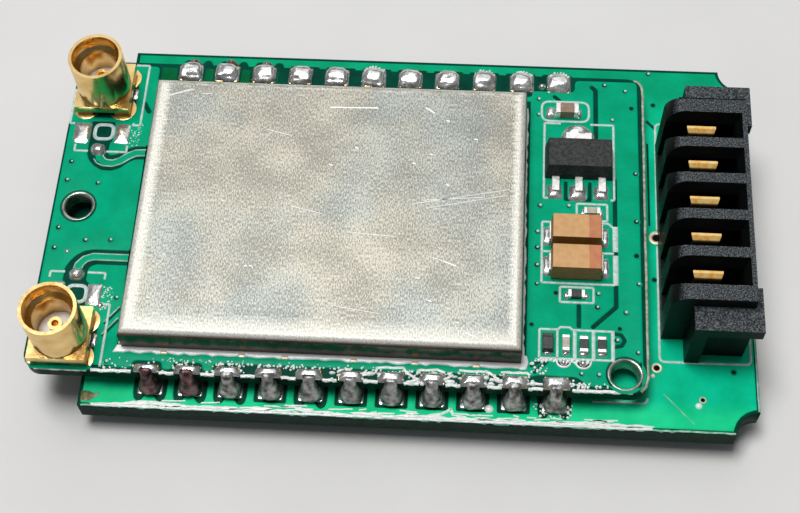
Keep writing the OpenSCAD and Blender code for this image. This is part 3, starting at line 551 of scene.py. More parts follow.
def dress(node_name):
    """Gives a CAD node its finish and rounds its edges."""
    solid = nodes[node_name]
    finish, width = next((f, w) for part, f, w in FINISH_OF_NODE if part in node_name)
    for material_slot in solid.material_slots:
        material_slot.material = finish.material
    if width > 0:
        weld = solid.modifiers.new("weld", "WELD")
        weld.merge_threshold = WELD_DISTANCE
        bevel = solid.modifiers.new("round_edges", "BEVEL")
        bevel.width = width * MM
        bevel.segments = BEVEL_STEPS
        bevel.limit_method = "ANGLE"
        bevel.angle_limit = BEVEL_ANGLE
        bevel.harden_normals = True
    return finish.material.name


dressed = {name: dress(name) for name in sorted(nodes)}
print("dressed", len(dressed), "CAD nodes in", len(set(dressed.values())), "finishes")

# %% [markdown]
# On a real board the copper lies under the mask and stands a few hundredths of a millimetre proud. Its edge
# is the thin light line beside every trace. A flat colour would lose that line in any other light, so the
# copper is modelled from closed loops, drawn in millimetres. The solid is always on the left of a loop's
# direction.

# %% Loops to draw with
CORNER_SHARE = 0.45


def box_loop(x0, y0, x1, y1):
    """A rectangle, anticlockwise."""
    return [(x0, y0), (x1, y0), (x1, y1), (x0, y1)]


def ring_loop(x, y, radius, count=28, stretch=1.0):
    """A circle, anticlockwise, or an oval drawn out along X."""
    turns = np.arange(count) * 2 * math.pi / count
    return [(x + stretch * radius * math.cos(t), y + radius * math.sin(t)) for t in turns]


def hole(loop):
    """The same loop run clockwise, so that the solid lies outside it."""
    return list(loop)[::-1]


def closed_path(loop):
    """A loop that says where it ends: its first point comes again."""
    return [*loop, loop[0]]


def soften(loop, radius, steps=4):
    """Rounds the corners of a closed loop."""
    points = [np.array(p, float) for p in loop]
    softened = []
    for k, corner in enumerate(points):
        ends = []
        for other in (points[k - 1], points[(k + 1) % len(points)]):
            distance = np.linalg.norm(other - corner)
            ends.append(corner + min(radius, CORNER_SHARE * distance) * (other - corner) / distance)
        for t in np.linspace(0, 1, steps + 1):
            softened.append(tuple((1 - t) ** 2 * ends[0] + 2 * t * (1 - t) * corner + t ** 2 * ends[1]))
    return softened


def wobble(loop, amount, chance):
    """The same loop with each point pushed in or out by a little, for edges that ran or wore."""
    points = np.array(loop, float)
    outward = points - points.mean(0)
    pushes = chance.uniform(-amount, amount, len(points))
    pushes = (pushes + np.roll(pushes, 1) + np.roll(pushes, -1)) / 2
    return points + outward * (pushes / np.linalg.norm(outward, axis=1))[:, None]


print("a softened square has", len(soften(box_loop(0, 0, 1, 1), 0.2)), "points")

# %% [markdown]
# Two more helpers move a loop sideways: one steps a closed loop to its left, and one makes a band along an
# open path. Both need the same thing at a corner, a mitre, as in a picture frame. A very sharp corner would
# throw its mitre far out, so its length has a limit.

# %% Loops beside others
SHARPEST_MITRE = 0.35


def unit(directions):
    """The same directions, each of length 1."""
    return directions / np.linalg.norm(directions, axis=1)[:, None]


def mitres(into, out):
    """At each corner, the step to the left that moves both of its sides by 1."""
    left_in, left_out = [np.stack([-way[:, 1], way[:, 0]], 1) for way in (into, out)]
    share = np.maximum(1 + (left_in * left_out).sum(1), SHARPEST_MITRE)
    return (left_in + left_out) / share[:, None]


def step_left(loop, distance):
    """Moves a closed loop to its left, and keeps its corners together."""
    points = np.array(loop, float)
    along = unit(np.roll(points, -1, 0) - points)
    return points + distance * mitres(np.roll(along, 1, 0), along)


def strip_loop(path, width):
    """A band of that width along an open path, anticlockwise."""
    points = np.array(path, float)
    along = unit(np.diff(points, axis=0))
    side = 0.5 * width * mitres(np.vstack([along[:1], along]), np.vstack([along, along[-1:]]))
    return [tuple(p) for p in points - side] + [tuple(p) for p in (points + side)[::-1]]


print("a bent strip has", len(strip_loop([(0, 0), (1, 0), (1, 1)], 0.2)), "points")

# %% [markdown]
# Two kinds of solid stand on these loops. A layer is a thin plate, such as copper or a pad: each loop is
# drawn in by small steps to round its upper edge, and the flats between the loops are filled. A dome is a
# drop, such as solder or flux: its loop is drawn in ring by ring to a peak. A Bevel modifier would round a
# drawn-up plate as well, but it fails where two loops come close.

# %% Layers and domes
ROUND_STEPS = 3
DOME_RINGS = 6


def bridge(bm, lower, upper):
    """Faces between two closed rings of points. Beside a ring that is one point they are triangles."""
    for i in range(len(lower)):
        j = (i + 1) % len(lower)
        corners = list(dict.fromkeys((lower[i], lower[j], upper[j], upper[i])))
        if len(corners) > 2:
            bm.faces.new(corners)


def add_layer(bm, loops, base, height, edge):
    """One closed plate between loops, with its upper edges rounded over the width edge."""
    rims = {"low": [], "high": []}
    for loop in loops:
        rings = []
        for step in range(ROUND_STEPS + 1):
            angle = 0.5 * math.pi * step / ROUND_STEPS
            z = base + height * math.sin(angle)
            rings.append([bm.verts.new((x, y, z)) for x, y in step_left(loop, edge * (1 - math.cos(angle)))])
        for lower, upper in zip(rings, rings[1:]):
            bridge(bm, lower, upper)
        for level, ring in (("low", rings[0]), ("high", rings[-1])):
            rims[level] += [bm.edges.get(pair) for pair in zip(ring, ring[1:] + ring[:1])]
    for rim in rims.values():
        bmesh.ops.triangle_fill(bm, use_beauty=True, edges=rim)


def add_dome(bm, loop, base, height, fullness=3.0):
    """A closed low dome over a loop. A greater fullness gives a flatter top and steeper sides."""
    outline = np.array(loop, float)
    middle = outline.mean(0)
    levels = []
    for ring in range(DOME_RINGS):
        share = math.cos(0.5 * math.pi * ring / DOME_RINGS)
        z = base + height * (1 - share ** fullness)
        levels.append([bm.verts.new((x, y, z)) for x, y in middle + share * (outline - middle)])
    levels.append([bm.verts.new((*middle, base + height))] * len(outline))
    for lower, upper in zip(levels, levels[1:]):
        bridge(bm, lower, upper)
    bm.faces.new(levels[0][::-1])


print("layers round their edge in", ROUND_STEPS, "steps, domes rise in", DOME_RINGS, "rings")

# %% [markdown]
# A finished shape becomes a piece of the module: its mesh goes from millimetres to metres with its faces
# outwards, and the piece rides on the module's one body and carries its finish. These are the same few lines
# for every piece, so they are written once.

# %% From a shape to a piece
SHARP_ANGLE = math.radians(50)
TO_METRES = Matrix.Diagonal((MM, MM, MM, 1))


def close_mesh(bm, name):
    """Turns the work, in millimetres, into a mesh in metres with its faces outwards."""
    bmesh.ops.recalc_face_normals(bm, faces=bm.faces)
    loose = sum(not edge.is_manifold for edge in bm.edges)
    mesh = bpy.data.meshes.new(name)
    bm.to_mesh(mesh)
    bm.free()
    mesh.transform(TO_METRES)
    mesh.polygons.foreach_set("use_smooth", [True] * len(mesh.polygons))
    mesh.set_sharp_from_angle(angle=SHARP_ANGLE)
    print(name, len(mesh.polygons), "faces, open edges:", loose)
    return mesh


def add_piece(name, mesh, finish):
    """Makes a finished mesh a piece of the module, which rides on its one body."""
    mesh.materials.clear()
    mesh.materials.append(finish.material)
    piece = bpy.data.objects.new(name, mesh)
    scene.collection.objects.link(piece)
    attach(piece, "root")
    return piece


def work_piece(name, bm, finish):
    """A piece made of the work in hand."""
    return add_piece(name, close_mesh(bm, name), finish)


def layer_piece(name, islands, base, height, edge, finish):
    """A piece of thin plates. Each island is a list of loops: its outline, then its holes."""
    bm = bmesh.new()
    for loops in islands:
        add_layer(bm, loops, base, height, edge)
    return work_piece(name, bm, finish)


print("helpers for pieces ready")

# %% [markdown]
# All added pieces share a few levels and places. The boards' tops come from the CAD model, each layer starts
# a hair below the surface that it lies on, and the eleven pads of each row stand on the 2.54 mm grid.

# %% Levels and places
SEAT = 0.004
COPPER_HEIGHT = 0.05
COPPER_EDGE = 0.10
MODULE_TOP = 4.7
MODULE_SEAT = MODULE_TOP - SEAT
MODULE_COPPER = MODULE_TOP + COPPER_HEIGHT
CARRIER_TOP = 2.8
CARRIER_SEAT = CARRIER_TOP - SEAT
CARRIER_COPPER = CARRIER_TOP + COPPER_HEIGHT
FRONT_EDGE = -11.97
REAR_EDGE = 11.37
PAD_PITCH = 2.54
PAD_COUNT = 11
PAD_FIRST = -15.15
PAD_PLACES = [PAD_FIRST + PAD_PITCH * k for k in range(PAD_COUNT)]
JACK_X = -20.69
JACK_PLACES = {"rear": 8.71, "front": -9.91}
MOUNT_HOLES = [(-21.28, -0.3), (14.47, -10.73)]
print("pads from", PAD_PLACES[0], "to", round(PAD_PLACES[-1], 2), "mm")

# %% [markdown]
# The upper board's copper keeps back from the board's edge and leaves the shield's seat, the jacks, the
# screw holes and the rows of pads free. At the spare coaxial pads it leaves a clearing with a channel that
# leads to the shield. Each clearing is a loop with softened corners, as the plotter's round spot would leave
# it.

# %% Outline and clearings of the upper copper
MOUNT_CLEAR = 1.20
CLEARING_CORNER = 0.12

module_outline = soften([
    (-22.88, -11.72), (-16.10, -11.72), (-16.05, -11.18), (-14.25, -11.18), (-14.20, -11.72),
    (-13.56, -11.72), (-13.51, -11.18), (-11.71, -11.18), (-11.66, -11.72), (-11.02, -11.72),
    (-10.97, -11.15), (8.75, -11.12), (9.1, -11.0), (11.6, -11.05), (12.1, -11.62), (15.58, -11.69),
    (15.58, 11.09), (11.35, 11.09), (11.35, 10.12), (8.45, 10.12), (8.45, 9.62), (-17.35, 9.62),
    (-17.35, 11.09), (-22.88, 11.09)], 0.35)
shield_seat = box_loop(-17.22, -10.60, 8.36, 9.25)
jack_seats = [soften(box_loop(JACK_X - 1.9, y - 2.0, JACK_X + 2.05, y + 2.0), 0.4)
              for y in JACK_PLACES.values()]
rear_spare = soften([
    (-21.35, 4.75), (-21.35, 3.75), (-21.15, 3.30), (-20.75, 2.86), (-20.20, 2.55), (-19.50, 2.52),
    (-18.95, 2.76), (-18.50, 3.20), (-18.05, 3.47), (-17.32, 3.50), (-17.32, 4.50), (-18.15, 4.47),
    (-18.75, 4.22), (-19.25, 3.82), (-19.70, 3.70), (-19.95, 3.80), (-19.95, 4.70), (-19.80, 4.85),
    (-19.80, 6.38), (-21.40, 6.38)], CLEARING_CORNER, 2)
front_spare = soften([
    (-17.32, -4.56), (-17.32, -3.50), (-19.70, -3.50), (-20.30, -3.62), (-20.80, -3.95), (-21.15, -4.40),
    (-21.40, -4.90), (-21.40, -5.90), (-21.15, -6.10), (-21.15, -7.55), (-19.60, -7.55), (-19.60, -6.00),
    (-19.90, -5.80), (-19.90, -4.95), (-19.75, -4.72), (-19.40, -4.56)], CLEARING_CORNER, 2)
module_holes = [shield_seat, rear_spare, front_spare, *jack_seats]
module_holes += [ring_loop(x, y, MOUNT_CLEAR, 40) for x, y in MOUNT_HOLES]
print("clearings in the upper copper:", len(module_holes))

# %% [markdown]
# The two antenna traces run from the spare coaxial pads to the shield, down the middle of their channels. In
# the right-hand column further channels part the supply from the ground. Traces and channels are bands along
# paths: a trace is an island of copper, and a channel is one more hole in the sheet.

# %% Copper on the upper board
ANTENNA_TRACE = 0.44
CHANNEL_CORNER = 0.1
rear_trace = strip_loop([(-20.62, 3.95), (-20.50, 3.45), (-20.08, 3.12), (-19.52, 3.08), (-19.02, 3.30),
                         (-18.55, 3.68), (-18.05, 3.95), (-17.36, 4.00)], ANTENNA_TRACE)
front_trace = strip_loop([(-20.60, -5.20), (-20.52, -4.65), (-20.18, -4.22), (-19.66, -4.03),
                          (-17.36, -4.03)], ANTENNA_TRACE)
# Each row: the path of a channel and its width
SUPPLY_CHANNELS = [
    ([(12.42, 10.66), (12.76, 10.32), (12.76, 6.40)], 0.30),
    ([(13.97, 3.30), (13.97, -6.12), (12.42, -7.66)], 0.27),
    ([(11.62, -6.02), (11.62, -7.66)], 0.27),
    ([(9.90, 9.78), (10.55, 9.18)], 0.26),
    ([(13.76, -7.98), (14.26, -8.04), (14.48, -8.42), (14.28, -8.80), (13.80, -8.90)], 0.22),
    ([(10.22, -9.98), (10.36, -10.20), (10.68, -10.32), (11.00, -10.20), (11.14, -9.98)], 0.20),
    ([(11.44, -9.98), (11.58, -10.22), (11.88, -10.34), (12.18, -10.22), (12.32, -9.98)], 0.20),
    ([(9.70, -10.02), (8.82, -10.88)], 0.22),
    ([(9.28, -9.98), (8.62, -10.46)], 0.20),
    ([(10.76, 3.00), (10.76, 1.62), (12.34, 1.62), (12.34, 3.00)], 0.22),
    ([(-18.26, -9.62), (-17.40, -8.42)], 0.20),
    ([(-18.26, -8.78), (-17.40, -7.62)], 0.20),
    ([(-18.10, 8.10), (-17.55, 7.20)], 0.30),
]
module_holes += [soften(strip_loop(path, width), CHANNEL_CORNER, 2) for path, width in SUPPLY_CHANNELS]
module_islands = [[module_outline, *[hole(loop) for loop in module_holes]], [rear_trace], [front_trace]]
layer_piece("module_copper", module_islands, MODULE_SEAT, COPPER_HEIGHT + SEAT, COPPER_EDGE, mask_finish)

# %% [markdown]
# At the left end of the rear row the mask is painted a middle green as painted shade. A thin plate with a
# notch for each of the first three pads carries it.

# %% Painted shade at the rear row
SHADE_LEFT, SHADE_RIGHT = -17.2, -9.2
SHADE_FRONT, SHADE_REAR = 9.75, 11.05
NOTCH_FRONT = 10.0
# Each row: distance from the pad's middle and place along Y
NOTCH = [(0.98, SHADE_REAR), (0.94, NOTCH_FRONT), (-0.94, NOTCH_FRONT), (-0.98, SHADE_REAR)]
SHADE_HEIGHT = 0.02

shade_loop = [(SHADE_LEFT, SHADE_FRONT), (SHADE_RIGHT, SHADE_FRONT)]
for place in PAD_PLACES[2::-1]:
    shade_loop += [(place + across, y) for across, y in NOTCH]
shade_loop.append((SHADE_LEFT, SHADE_REAR))
layer_piece("inner_copper", [[soften(shade_loop, 0.08, 2)]], MODULE_SEAT, SHADE_HEIGHT + SEAT, 0.03,
            shaded_mask_finish)

# %% [markdown]
# The lower board's copper is one sheet of ground. Only the rim shows, but the sheet is whole, as the real
# one is. Its right-hand corners follow the round bites that clear the screws. A bite is a quarter of a
# circle whose two ends are moved onto the sheet's straight edges.

# %% Outline of the lower copper
CARRIER_LEFT, CARRIER_RIGHT = -19.42, 23.0
CARRIER_HALF = 13.6
CARRIER_INSET = 0.22
BITE_RADIUS = 1.5
BITE_POINTS = 7

copper_right = CARRIER_RIGHT - CARRIER_INSET
copper_half = CARRIER_HALF - CARRIER_INSET
bite = BITE_RADIUS + CARRIER_INSET
bite_turns = np.linspace(0, 0.5 * math.pi, BITE_POINTS)
front_bite = [(CARRIER_RIGHT - bite * math.cos(t), -CARRIER_HALF + bite * math.sin(t)) for t in bite_turns]
front_bite[0] = (front_bite[0][0], -copper_half)
front_bite[-1] = (copper_right, front_bite[-1][1])
rear_bite = [(x, -y) for x, y in front_bite[::-1]]
carrier_outline = [(CARRIER_LEFT, -copper_half), *front_bite, *rear_bite, (CARRIER_LEFT, copper_half)]
print("lower copper's outline:", len(carrier_outline), "points")

# %% [markdown]
# Round each pad of the lower board the copper keeps clear, so bare laminate frames the pad. At some of them,
# most at the left end, the clearing is hooked: it swings out past the pad in two lobes. Both kinds are loops
# made from one place on the grid, and the rear row mirrors the front one.

# %% Copper on the lower board
CLEAR_HALF = 1.02
CLEAR_START, CLEAR_END = 9.6, 12.84
CLEAR_CORNER = 0.14
HOOK_HALF = 1.06
HOOKED_FRONT = (0, 1, 2, 4, 10)
HOOKED_REAR = (0, 1, 2)
HOOK_LOBES = [(-HOOK_HALF, 12.55), (-0.96, 12.95), (-0.70, 13.12), (-0.44, 12.98), (-0.30, 12.70),
              (0.0, 12.56), (0.30, 12.70), (0.44, 12.98), (0.70, 13.12), (0.96, 12.95), (HOOK_HALF, 12.55)]
CARRIER_CHANNELS = [
    ([(16.42, 9.24), (17.02, 8.58)], 0.20),
    ([(16.44, 7.40), (16.44, 0.95)], 0.13),
]


def clearance(place, side, hooked):
    """The outline of the bare laminate round one pad. A hooked one reaches past the pad on both sides."""
    if hooked:
        lobes = [(-HOOK_HALF, CLEAR_START), *HOOK_LOBES, (HOOK_HALF, CLEAR_START)]
        loop = [(place + x, side * y) for x, y in lobes]
        return soften(loop[::-1] if side > 0 else loop, CLEAR_CORNER, 2)
    low, high = sorted((side * CLEAR_START, side * CLEAR_END))
    return soften(box_loop(place - CLEAR_HALF, low, place + CLEAR_HALF, high), CLEAR_CORNER)


carrier_holes = []
for k, place in enumerate(PAD_PLACES):
    carrier_holes.append(clearance(place, -1, k in HOOKED_FRONT))
    carrier_holes.append(clearance(place, 1, k in HOOKED_REAR))
carrier_holes += [strip_loop(path, width) for path, width in CARRIER_CHANNELS]
layer_piece("carrier_copper", [[carrier_outline, *[hole(loop) for loop in carrier_holes]]], CARRIER_SEAT,
            COPPER_HEIGHT + SEAT, COPPER_EDGE, carrier_finish)

# %% [markdown]
# Two kinds of detail come from Geometry Nodes: lines that follow a path, and shapes that repeat. A tree
# takes a bare mesh of edges or points and named inputs for its sizes. A modifier runs it, and the result is
# kept as a plain mesh, because the export knows no modifier's instances. These helpers start a tree, end it
# and run it.


# %% Helpers for geometry trees
def new_tree(name, inputs):
    """An empty geometry tree with named inputs, and with it those inputs and the node for its output."""
    tree = bpy.data.node_groups.new(name, "GeometryNodeTree")
    tree.interface.new_socket("Geometry", in_out="INPUT", socket_type="NodeSocketGeometry")
    for label, kind in inputs.items():
        tree.interface.new_socket(label, in_out="INPUT", socket_type="NodeSocket" + kind)
    tree.interface.new_socket("Geometry", in_out="OUTPUT", socket_type="NodeSocketGeometry")
    return tree, tree.nodes.new("NodeGroupInput").outputs, tree.nodes.new("NodeGroupOutput")


def end_tree(tree, geometry, material, output):
    """Every tree ends alike: instances made real, then the material set."""
    real = grow(tree, "GeometryNodeRealizeInstances", Geometry=geometry)
    dyed = grow(tree, "GeometryNodeSetMaterial", Geometry=real.outputs["Geometry"], Material=material)
    tree.links.new(dyed.outputs["Geometry"], output.inputs["Geometry"])
    print(tree.name, len(tree.nodes), "nodes")


def run_tree(name, tree, base, values):
    """Runs a tree on a base mesh and gives back the result as a plain mesh, with no modifier left."""
    holder = bpy.data.objects.new(name, base)
    scene.collection.objects.link(holder)
    modifier = holder.modifiers.new("tree", "NODES")
    modifier.node_group = tree
    for item in tree.interface.items_tree:
        if item.in_out == "INPUT" and item.name in values:
            modifier[item.identifier] = values[item.name]
    result = bpy.data.meshes.new_from_object(holder.evaluated_get(bpy.context.evaluated_depsgraph_get()))
    holder.modifiers.clear()
    bpy.data.objects.remove(holder)
    result.name = name
    print(name, len(result.polygons), "faces")
    return result


# %% [markdown]
# White ink marks where the parts go, and later scratches, burrs and streaks are lines too. The tree turns a
# path's edges into a curve, rounds its corners as the round spot of the printer does, and sweeps a low
# trapezoid along it. Mesh code would need its own sweep and corners.

# %% A tree that draws lines along paths
LINE_TOP_SHARE = 0.78
CORNER_POINTS = 4
LINE_INPUTS = {"Line width": "Float", "Line height": "Float", "Corner radius": "Float", "Finish": "Material"}

line_tree, line_in, line_out = new_tree("draw_lines", LINE_INPUTS)
line_curve = grow(line_tree, "GeometryNodeMeshToCurve", Mesh=line_in["Geometry"])
line_bends = grow(line_tree, "GeometryNodeFilletCurve", {"mode": "POLY"}, Curve=line_curve.outputs["Curve"],
                  Count=CORNER_POINTS, Radius=line_in["Corner radius"], Limit_Radius=True)
line_level = grow(line_tree, "GeometryNodeSetCurveNormal", {"mode": "Z_UP"},
                  Curve=line_bends.outputs["Curve"])
line_top = reckon(line_tree, "MULTIPLY", line_in["Line width"], LINE_TOP_SHARE)
line_profile = grow(line_tree, "GeometryNodeCurvePrimitiveQuadrilateral", {"mode": "TRAPEZOID"},
                    Height=line_in["Line height"], Top_Width=line_in["Line width"], Bottom_Width=line_top,
                    Offset=0.0)
line_sweep = grow(line_tree, "GeometryNodeCurveToMesh", Curve=line_level.outputs["Curve"],
                  Profile_Curve=line_profile.outputs["Curve"], Fill_Caps=True)
end_tree(line_tree, line_sweep.outputs["Mesh"], line_in["Finish"], line_out)

# %% [markdown]
# A piece of lines starts as chains of bare edges. A path that ends where it starts is closed, and its last
# point is dropped, because the curve would otherwise have a seam there.


# %% Pieces made of lines
def path_mesh(name, paths, z):
    """A mesh of bare edges at one height, one chain for each path."""
    points = []
    edges = []
    for path in paths:
        closed = path[0] == path[-1]
        kept = path[:-1] if closed else path
        first, last = len(points), len(points) + len(kept) - 1
        points += [(*point, z) for point in kept]
        edges += [(k, k + 1) for k in range(first, last)]
        edges += [(last, first)] if closed else []
    mesh = bpy.data.meshes.new(name)
    mesh.from_pydata(points, edges, [])
    mesh.transform(TO_METRES)
    return mesh


def line_piece(name, paths, width, base, top, finish, radius=0.08):
    """A piece of lines along paths, between two heights."""
    values = {"Line width": width * MM, "Line height": (top - base) * MM, "Corner radius": radius * MM,
              "Finish": finish.material}
    mesh = run_tree(name, line_tree, path_mesh(name, paths, 0.5 * (base + top)), values)
    return add_piece(name, mesh, finish)


print("pieces of lines use", line_tree.name)

# %% [markdown]
# The upper board's ink: brackets round the jacks and the spare coaxial pads, frames round the parts of the
# right-hand column, and rings. The printer left three widths of line. A picture of the ink would blur up
# close, and lines stay sharp. Each width is one piece, a hair higher than the one before, so that none share
# a surface.

# %% Ink on the upper board
INK_TOP = MODULE_COPPER + 0.022
INK_STEP = 0.003
INK_WIDTH, WIDE_INK, BAR_INK = 0.18, 0.27, 0.40
BAR_X = 13.96
# Each row: two corners of the box that a ring fills
SPARE_RINGS = [(-21.08, 4.98, -19.84, 6.12), (-20.98, -7.32, -19.74, -6.16)]

jack_marks = [
    [(-22.55, 6.15), (-22.90, 6.15), (-22.90, 8.95)],
    [(-18.62, 6.15), (-18.08, 6.15), (-18.08, 11.10), (-19.00, 11.10)],
    [(-18.66, -7.42), (-18.08, -7.42), (-18.08, -11.72)],
]
spare_marks = [
    [(-22.25, 4.50), (-22.25, 3.98), (-21.32, 3.98)],
    [(-20.06, 3.98), (-18.72, 3.98), (-18.72, 4.50)],
    [(-22.28, -5.62), (-22.28, -5.20), (-21.34, -5.20)],
    [(-19.86, -5.20), (-18.70, -5.20), (-18.70, -5.66)],
]
regulator_marks = [
    [(9.60, 1.66), (9.32, 1.66), (9.32, 7.52), (10.40, 7.52)],
    [(12.40, 7.50), (13.93, 7.50), (13.93, 1.64), (13.68, 1.64)],
]
column_marks = [
    [(11.48, 0.10), (11.48, 1.30), (13.46, 1.30), (13.46, 0.05), (13.10, 0.05)],
    [(10.02, -0.14), (9.24, -0.14), (9.24, -4.58), (13.90, -4.58)],
    [(9.30, -2.32), (10.02, -2.32)],
    [(13.10, -2.32), (13.86, -2.32)],
    [(13.08, -0.12), (13.52, -0.12), (13.82, -0.42)],
    closed_path(box_loop(10.42, -5.92, 12.54, -4.84)),
    [(9.16, -9.84), (9.16, -7.86), (10.30, -7.86), (10.46, -7.68), (11.05, -7.68), (11.24, -7.86),
     (13.72, -7.86)],
    [(9.16, -9.84), (13.72, -9.84)],
    [(10.28, -7.90), (10.28, -9.80)],
    closed_path(soften(box_loop(9.12, 7.70, 12.30, 9.28), 0.55, 5)),
]
wide_marks = [[(x, -7.80), (x, -9.90)] for x in (11.36, 12.52, 13.72)]
wide_marks += [closed_path(soften(box_loop(*corners), 0.42)) for corners in SPARE_RINGS]
bar_marks = [[(BAR_X, -0.34), (BAR_X, -2.20)], [(BAR_X, -2.46), (BAR_X, -4.62)]]
module_marks = [*jack_marks, *spare_marks, *regulator_marks, *column_marks]
ink_pieces = [("module_ink", module_marks, INK_WIDTH), ("module_ink_wide", wide_marks, WIDE_INK),
              ("module_ink_bars", bar_marks, BAR_INK)]
for step, (name, marks, width) in enumerate(ink_pieces):
    line_piece(name, marks, width, MODULE_SEAT, INK_TOP + step * INK_STEP, ink_finish)

# %% [markdown]
# The lower board's ink frames the connector and shows the place of the upper board's corner. The lines are
# the same, with rounder corners.

# %% Ink on the lower board
CARRIER_INK_TOP = CARRIER_COPPER + 0.022
carrier_marks = [
    [(12.60, -11.80), (16.04, -11.78), (16.03, -11.43)],
    [(17.60, 9.00), (17.00, 9.00), (16.94, 0.62)],
    [(16.92, -0.62), (16.86, -8.90), (22.58, -8.86), (22.58, -6.80)],
]
line_piece("carrier_ink", carrier_marks, INK_WIDTH, CARRIER_SEAT, CARRIER_INK_TOP, ink_finish, 0.3)

# %% [markdown]
# Many things on the boards repeat one shape: vias, crumbs of flux, solder joints. One geometry tree serves
# them all. It sets a shape on bare points with a seeded turn and size, makes the copies real, and then
# pushes their surface in and out with a noise, so that no two are alike. Copies placed by hand would all be
# the same.

# %% A tree that repeats a shape
REPEAT_INPUTS = {"Shape": "Object", "Size spread": "Float", "Turn spread": "Float", "Unevenness": "Float",
                 "Lump size": "Float", "Seed": "Int", "Finish": "Material"}
SIZE_SEED_STEP = 11.0
repeat_tree, repeat_in, repeat_out = new_tree("repeat_shape", REPEAT_INPUTS)


def random_about(middle, half, seed):
    """A random value for each point, within half of the middle."""
    node = grow(repeat_tree, "FunctionNodeRandomValue", Seed=seed)
    feed(repeat_tree, node.inputs[2], reckon(repeat_tree, "SUBTRACT", middle, half))
    feed(repeat_tree, node.inputs[3], reckon(repeat_tree, "ADD", middle, half))
    return node.outputs[1]


repeat_shape = grow(repeat_tree, "GeometryNodeObjectInfo", Object=repeat_in["Shape"])
repeat_turn = grow(repeat_tree, "ShaderNodeCombineXYZ",
                   Z=random_about(0.0, repeat_in["Turn spread"], repeat_in["Seed"]))
size_seed = reckon(repeat_tree, "ADD", repeat_in["Seed"], SIZE_SEED_STEP)
repeat_copies = grow(repeat_tree, "GeometryNodeInstanceOnPoints", Points=repeat_in["Geometry"],
                     Instance=repeat_shape.outputs["Geometry"], Rotation=repeat_turn.outputs["Vector"],
                     Scale=random_about(1.0, repeat_in["Size spread"], size_seed))
repeat_real = grow(repeat_tree, "GeometryNodeRealizeInstances", Geometry=repeat_copies.outputs["Instances"])
repeat_noise = grow(repeat_tree, "ShaderNodeTexNoise", Detail=2.0,
                    Scale=reckon(repeat_tree, "DIVIDE", 1.0, repeat_in["Lump size"]))
repeat_push = reckon(repeat_tree, "MULTIPLY", repeat_in["Unevenness"],
                     reckon(repeat_tree, "SUBTRACT", repeat_noise.outputs["Fac"], 0.5))
repeat_shift = grow(repeat_tree, "ShaderNodeVectorMath", {"operation": "SCALE"}, Scale=repeat_push,
                    Vector=grow(repeat_tree, "GeometryNodeInputNormal").outputs["Normal"])
repeat_moved = grow(repeat_tree, "GeometryNodeSetPosition", Geometry=repeat_real.outputs["Geometry"],
                    Offset=repeat_shift.outputs["Vector"])
repeat_smooth = grow(repeat_tree, "GeometryNodeSetShadeSmooth", Geometry=repeat_moved.outputs["Geometry"])
end_tree(repeat_tree, repeat_smooth.outputs["Geometry"], repeat_in["Finish"], repeat_out)

# %% [markdown]
# The repeated shapes are mostly turned, as on a lathe: a closed profile of radius and height goes round an
# upright axis. The Spin operator and the Screw modifier do the same, but leave a seam and open poles to
# merge. Here a profile that touches the axis closes on a single point.


# %% Turned and repeated pieces
def add_turned(bm, profile, place, count):
    """Turns a closed profile of (radius, height) round an upright axis. A radius of 0 closes on the axis."""
    rings = []
    for radius, height in profile:
        if radius == 0:
            rings.append([bm.verts.new((*place, height))] * count)
        else:
            rings.append([bm.verts.new((x, y, height)) for x, y in ring_loop(*place, radius, count)])
    for lower, upper in zip(rings, rings[1:] + rings[:1]):
        bridge(bm, lower, upper)


def turned_mesh(name, profile, count):
    """A turned shape at the origin, for a tree to repeat."""
    bm = bmesh.new()
    add_turned(bm, profile, (0.0, 0.0), count)
    return close_mesh(bm, name)


def repeat_piece(name, shape_mesh, points, finish, size=0.0, turn=0.0, uneven=0.0, lump=0.5, seed=1):
    """A piece made of one shape on many points, all in millimetres."""
    shape = bpy.data.objects.new(name + "_shape", shape_mesh)
    base = bpy.data.meshes.new(name)
    base.from_pydata([(x * MM, y * MM, z * MM) for x, y, z in points], [], [])
    values = {"Shape": shape, "Size spread": size, "Turn spread": turn, "Unevenness": uneven * MM,
              "Lump size": lump * MM, "Seed": seed, "Finish": finish.material}
    mesh = run_tree(name, repeat_tree, base, values)
    bpy.data.objects.remove(shape)
    return add_piece(name, mesh, finish)


print("repeated pieces use", repeat_tree.name)

# %% [markdown]
# A via is a drilled and plated hole that joins the copper layers. The mask sags over it and leaves a low rim.
# Inside the rim a flat dark disc is the painted shade of the pit, and a pale bead set off to one side is a
# painted highlight. Rim, disc and bead are three turned shapes, because each has a finish of its own. A few
# vias have no painted highlight.

